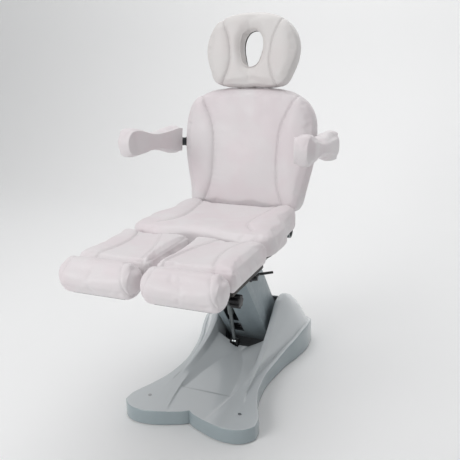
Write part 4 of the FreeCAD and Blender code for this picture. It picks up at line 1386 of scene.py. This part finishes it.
# ---- the scene ----------------------------------------------------------------------------
@dataclass(frozen=True)
class Viewpoint:
    """The camera: where it stands, where it looks and its lens."""

    eye: Triple = (0.9856, -2.3297, 1.4278)
    look: Triple = (-0.372, 0.8829, -0.2864)
    up: Triple = (-0.0919, 0.272, 0.9579)
    lens: float = 48.5

    def build(self) -> None:
        """Sets up the scene's camera."""
        data = bpy.data.cameras.new("camera")
        data.lens = self.lens
        data.sensor_width = 36.0
        camera = bpy.data.objects.new("camera", data)
        bpy.context.scene.collection.objects.link(camera)
        look = Vector(self.look).normalized()
        right = look.cross(Vector(self.up)).normalized()
        up = right.cross(look)
        camera.matrix_world = Matrix.Translation(self.eye) @ Matrix(
            (right, up, -look)).transposed().to_4x4()
        bpy.context.scene.camera = camera


@dataclass(frozen=True)
class Softbox:
    """One soft studio lamp."""

    name: str
    spot: Triple
    aim: Triple
    size: float
    power: float
    tint: Color = (1.0, 1.0, 1.0)

    def build(self) -> None:
        """Hangs the lamp."""
        data = bpy.data.lights.new(self.name, "AREA")
        data.shape = "SQUARE"
        data.size = self.size
        data.energy = self.power
        data.color = self.tint
        lamp = bpy.data.objects.new(self.name, data)
        lamp.location = self.spot
        way = Vector(self.aim) - Vector(self.spot)
        lamp.rotation_euler = way.to_track_quat("-Z", "Y").to_euler()
        bpy.context.scene.collection.objects.link(lamp)


@dataclass(frozen=True)
class Studio:
    """A pale floor that sweeps up behind the chair, and soft light."""

    half_width: float = 9.0
    front: float = -7.0
    back: float = 4.2
    bend: float = 1.6
    height: float = 7.0
    ambient: float = 0.47
    lamps: tuple[Softbox, ...] = (
        Softbox("overhead", (-0.6, -0.9, 3.9), (0.0, 0.0, 0.6), 3.0, 16.0, (1.0, 0.995, 0.99)),
        Softbox("front", (-1.6, -3.6, 2.3), (0.0, -0.1, 0.7), 2.0, 58.0),
        Softbox("sweep", (0.0, 1.6, 5.0), (0.0, 4.2, 1.5), 4.0, 95.0),
    )

    def build(self) -> None:
        """Floor, lamps and the pale surroundings."""
        profile = [(self.front, 0.0), (self.back - self.bend, 0.0)]
        for k in range(1, 13):
            angle = math.pi / 2 * k / 12
            profile.append((self.back - self.bend + self.bend * math.sin(angle),
                            self.bend * (1 - math.cos(angle))))
        profile.append((self.back, self.height))
        points = [(x, y, z) for y, z in profile for x in (-self.half_width, self.half_width)]
        faces = [(2 * i, 2 * i + 1, 2 * i + 3, 2 * i + 2) for i in range(len(profile) - 1)]
        floor = built("floor", points, faces)
        floor.data.shade_smooth()
        paint = Paint("pale_floor", (0.90, 0.90, 0.90), 0.7)
        floor.data.materials.append(paint.material)
        for lamp in self.lamps:
            lamp.build()
        world = bpy.data.worlds.new("studio")
        world.use_nodes = True
        backdrop = world.node_tree.nodes["Background"]
        backdrop.inputs["Color"].default_value = (0.98, 0.99, 1.0, 1.0)
        backdrop.inputs["Strength"].default_value = self.ambient
        bpy.context.scene.world = world
        bpy.context.scene.view_settings.view_transform = "Standard"


# ---- the chair ----------------------------------------------------------------------------
@dataclass
class Upholstery:
    """Every cushion of the chair, and the leaning frames of the back and headrest."""

    back: Place = leaning(0.1273, 0.608, 9.9)
    head: Place = leaning(0.2387, 1.244, 11.1)

    def pads(self) -> list[Pad]:
        """The pads to make, one of each mirrored pair."""
        return [
            Pad("back_cushion", self.back, (BACK_SEAM, BACK_SEAM.other_side()), inset=0.003,
                cap=0.0085, smoothing=14, growth=0.006, calm=5, shaping=shape_back,
                room=((0.009, 0.0, 0.0), (0.009, 0.008, 0.002))),
            Pad("seat_cushion", lying(0.756), (SEAT_SEAM, SEAT_SEAM.other_side()),
                inset=0.003, cap=0.0075, smoothing=10, shaping=shape_seat,
                room=((0.004, 0.0, 0.0), (0.004, 0.0, 0.004))),
            Pad("headrest_cushion", self.head, (PILLOW_SEAM, PILLOW_SEAM.other_side()),
                cell=0.005, inset=0.003, cap=0.0055, smoothing=8,
                growth=0.002, calm=9, shaping=shape_pillow,
                room=((-0.001, -0.001, 0.0), (-0.001, 0.004, 0.002))),
            Pad("leg_cushion_left", lying(0.752), LEG_SEAMS, cell=0.0055, inset=0.003,
                cap=0.0065, smoothing=4, shaping=shape_leg,
                room=((0.003, 0.0, 0.0), (0.0, 0.0, 0.002)), twin="leg_cushion_right"),
            Pad("foot_cushion_left", lying(0.764), cell=0.005, cap=0.008, smoothing=12,
                shaping=shape_foot, ring=foot_ring, twin="foot_cushion_right"),
            Pad("armrest_pad_left", Place((0.0, 0.252, 1.011), (0.0, 1.0, 0.0), (1.0, 0.0, 0.0)),
                cell=0.0045, cap=0.008, smoothing=12, shaping=shape_arm,
                twin="armrest_pad_right"),
        ]

    def build(self) -> None:
        """Cuts, swells, sews and dresses the cushions."""
        stitches = stitch_tree()
        pads = self.pads()
        for pad in pads:
            pad.blank()
        swell_all(pads)
        for pad in pads:
            pad.sew()
            threads = pad.topstitch(stitches, "stitches_" + pad.node)
            for piece, node in self.pair(pad.obj, pad):
                dress(piece, BODY_OF[node], SLOT_OF[node], node)
            if threads:
                for piece, node in self.pair(threads, pad):
                    dress(piece, BODY_OF[node], SLOT_OF[node], finish=THREAD)

    @staticmethod
    def pair(obj: Object, pad: Pad) -> list[tuple[Object, str]]:
        """A piece, and its mirror image where the pad has a twin, with their nodes."""
        made = [(obj, pad.node)]
        if pad.twin:
            made.append((mirror_mesh(obj, obj.name.replace(pad.node, pad.twin)), pad.twin))
        return made


def dress_cad_nodes() -> None:
    """Gives every CAD node that stays in view its finish."""
    for name, obj in frame["nodes"].items():
        if not obj.hide_render:
            obj.data.materials.clear()
            obj.data.materials.append(SHOP.for_slot(SLOT_OF[name]))


def main() -> None:
    """Builds the chair piece by piece, then the studio round it."""
    logging.basicConfig(level=logging.INFO, format="%(message)s")
    Viewpoint().build()
    Upholstery().build()
    dress(BaseCover().build(), "base", "base_plastic", "base_cover")
    UnderPan().build()
    for piece in EDGED:
        piece.build()
    stitches = stitch_tree()
    pads = Upholstery()
    for node, place in (("back_board", pads.back), ("headrest_board", pads.head),
                        ("seat_board", lying(0.664)), ("leg_board_left", lying(0.663)),
                        ("leg_board_right", lying(0.663))):
        Staples(node, place.out).build(stitches)
    bolts = bolt_tree()
    for group in side_bolts():
        group.build(bolts)
    dress_cad_nodes()
    Studio().build()


if __name__ == "__main__":
    main()
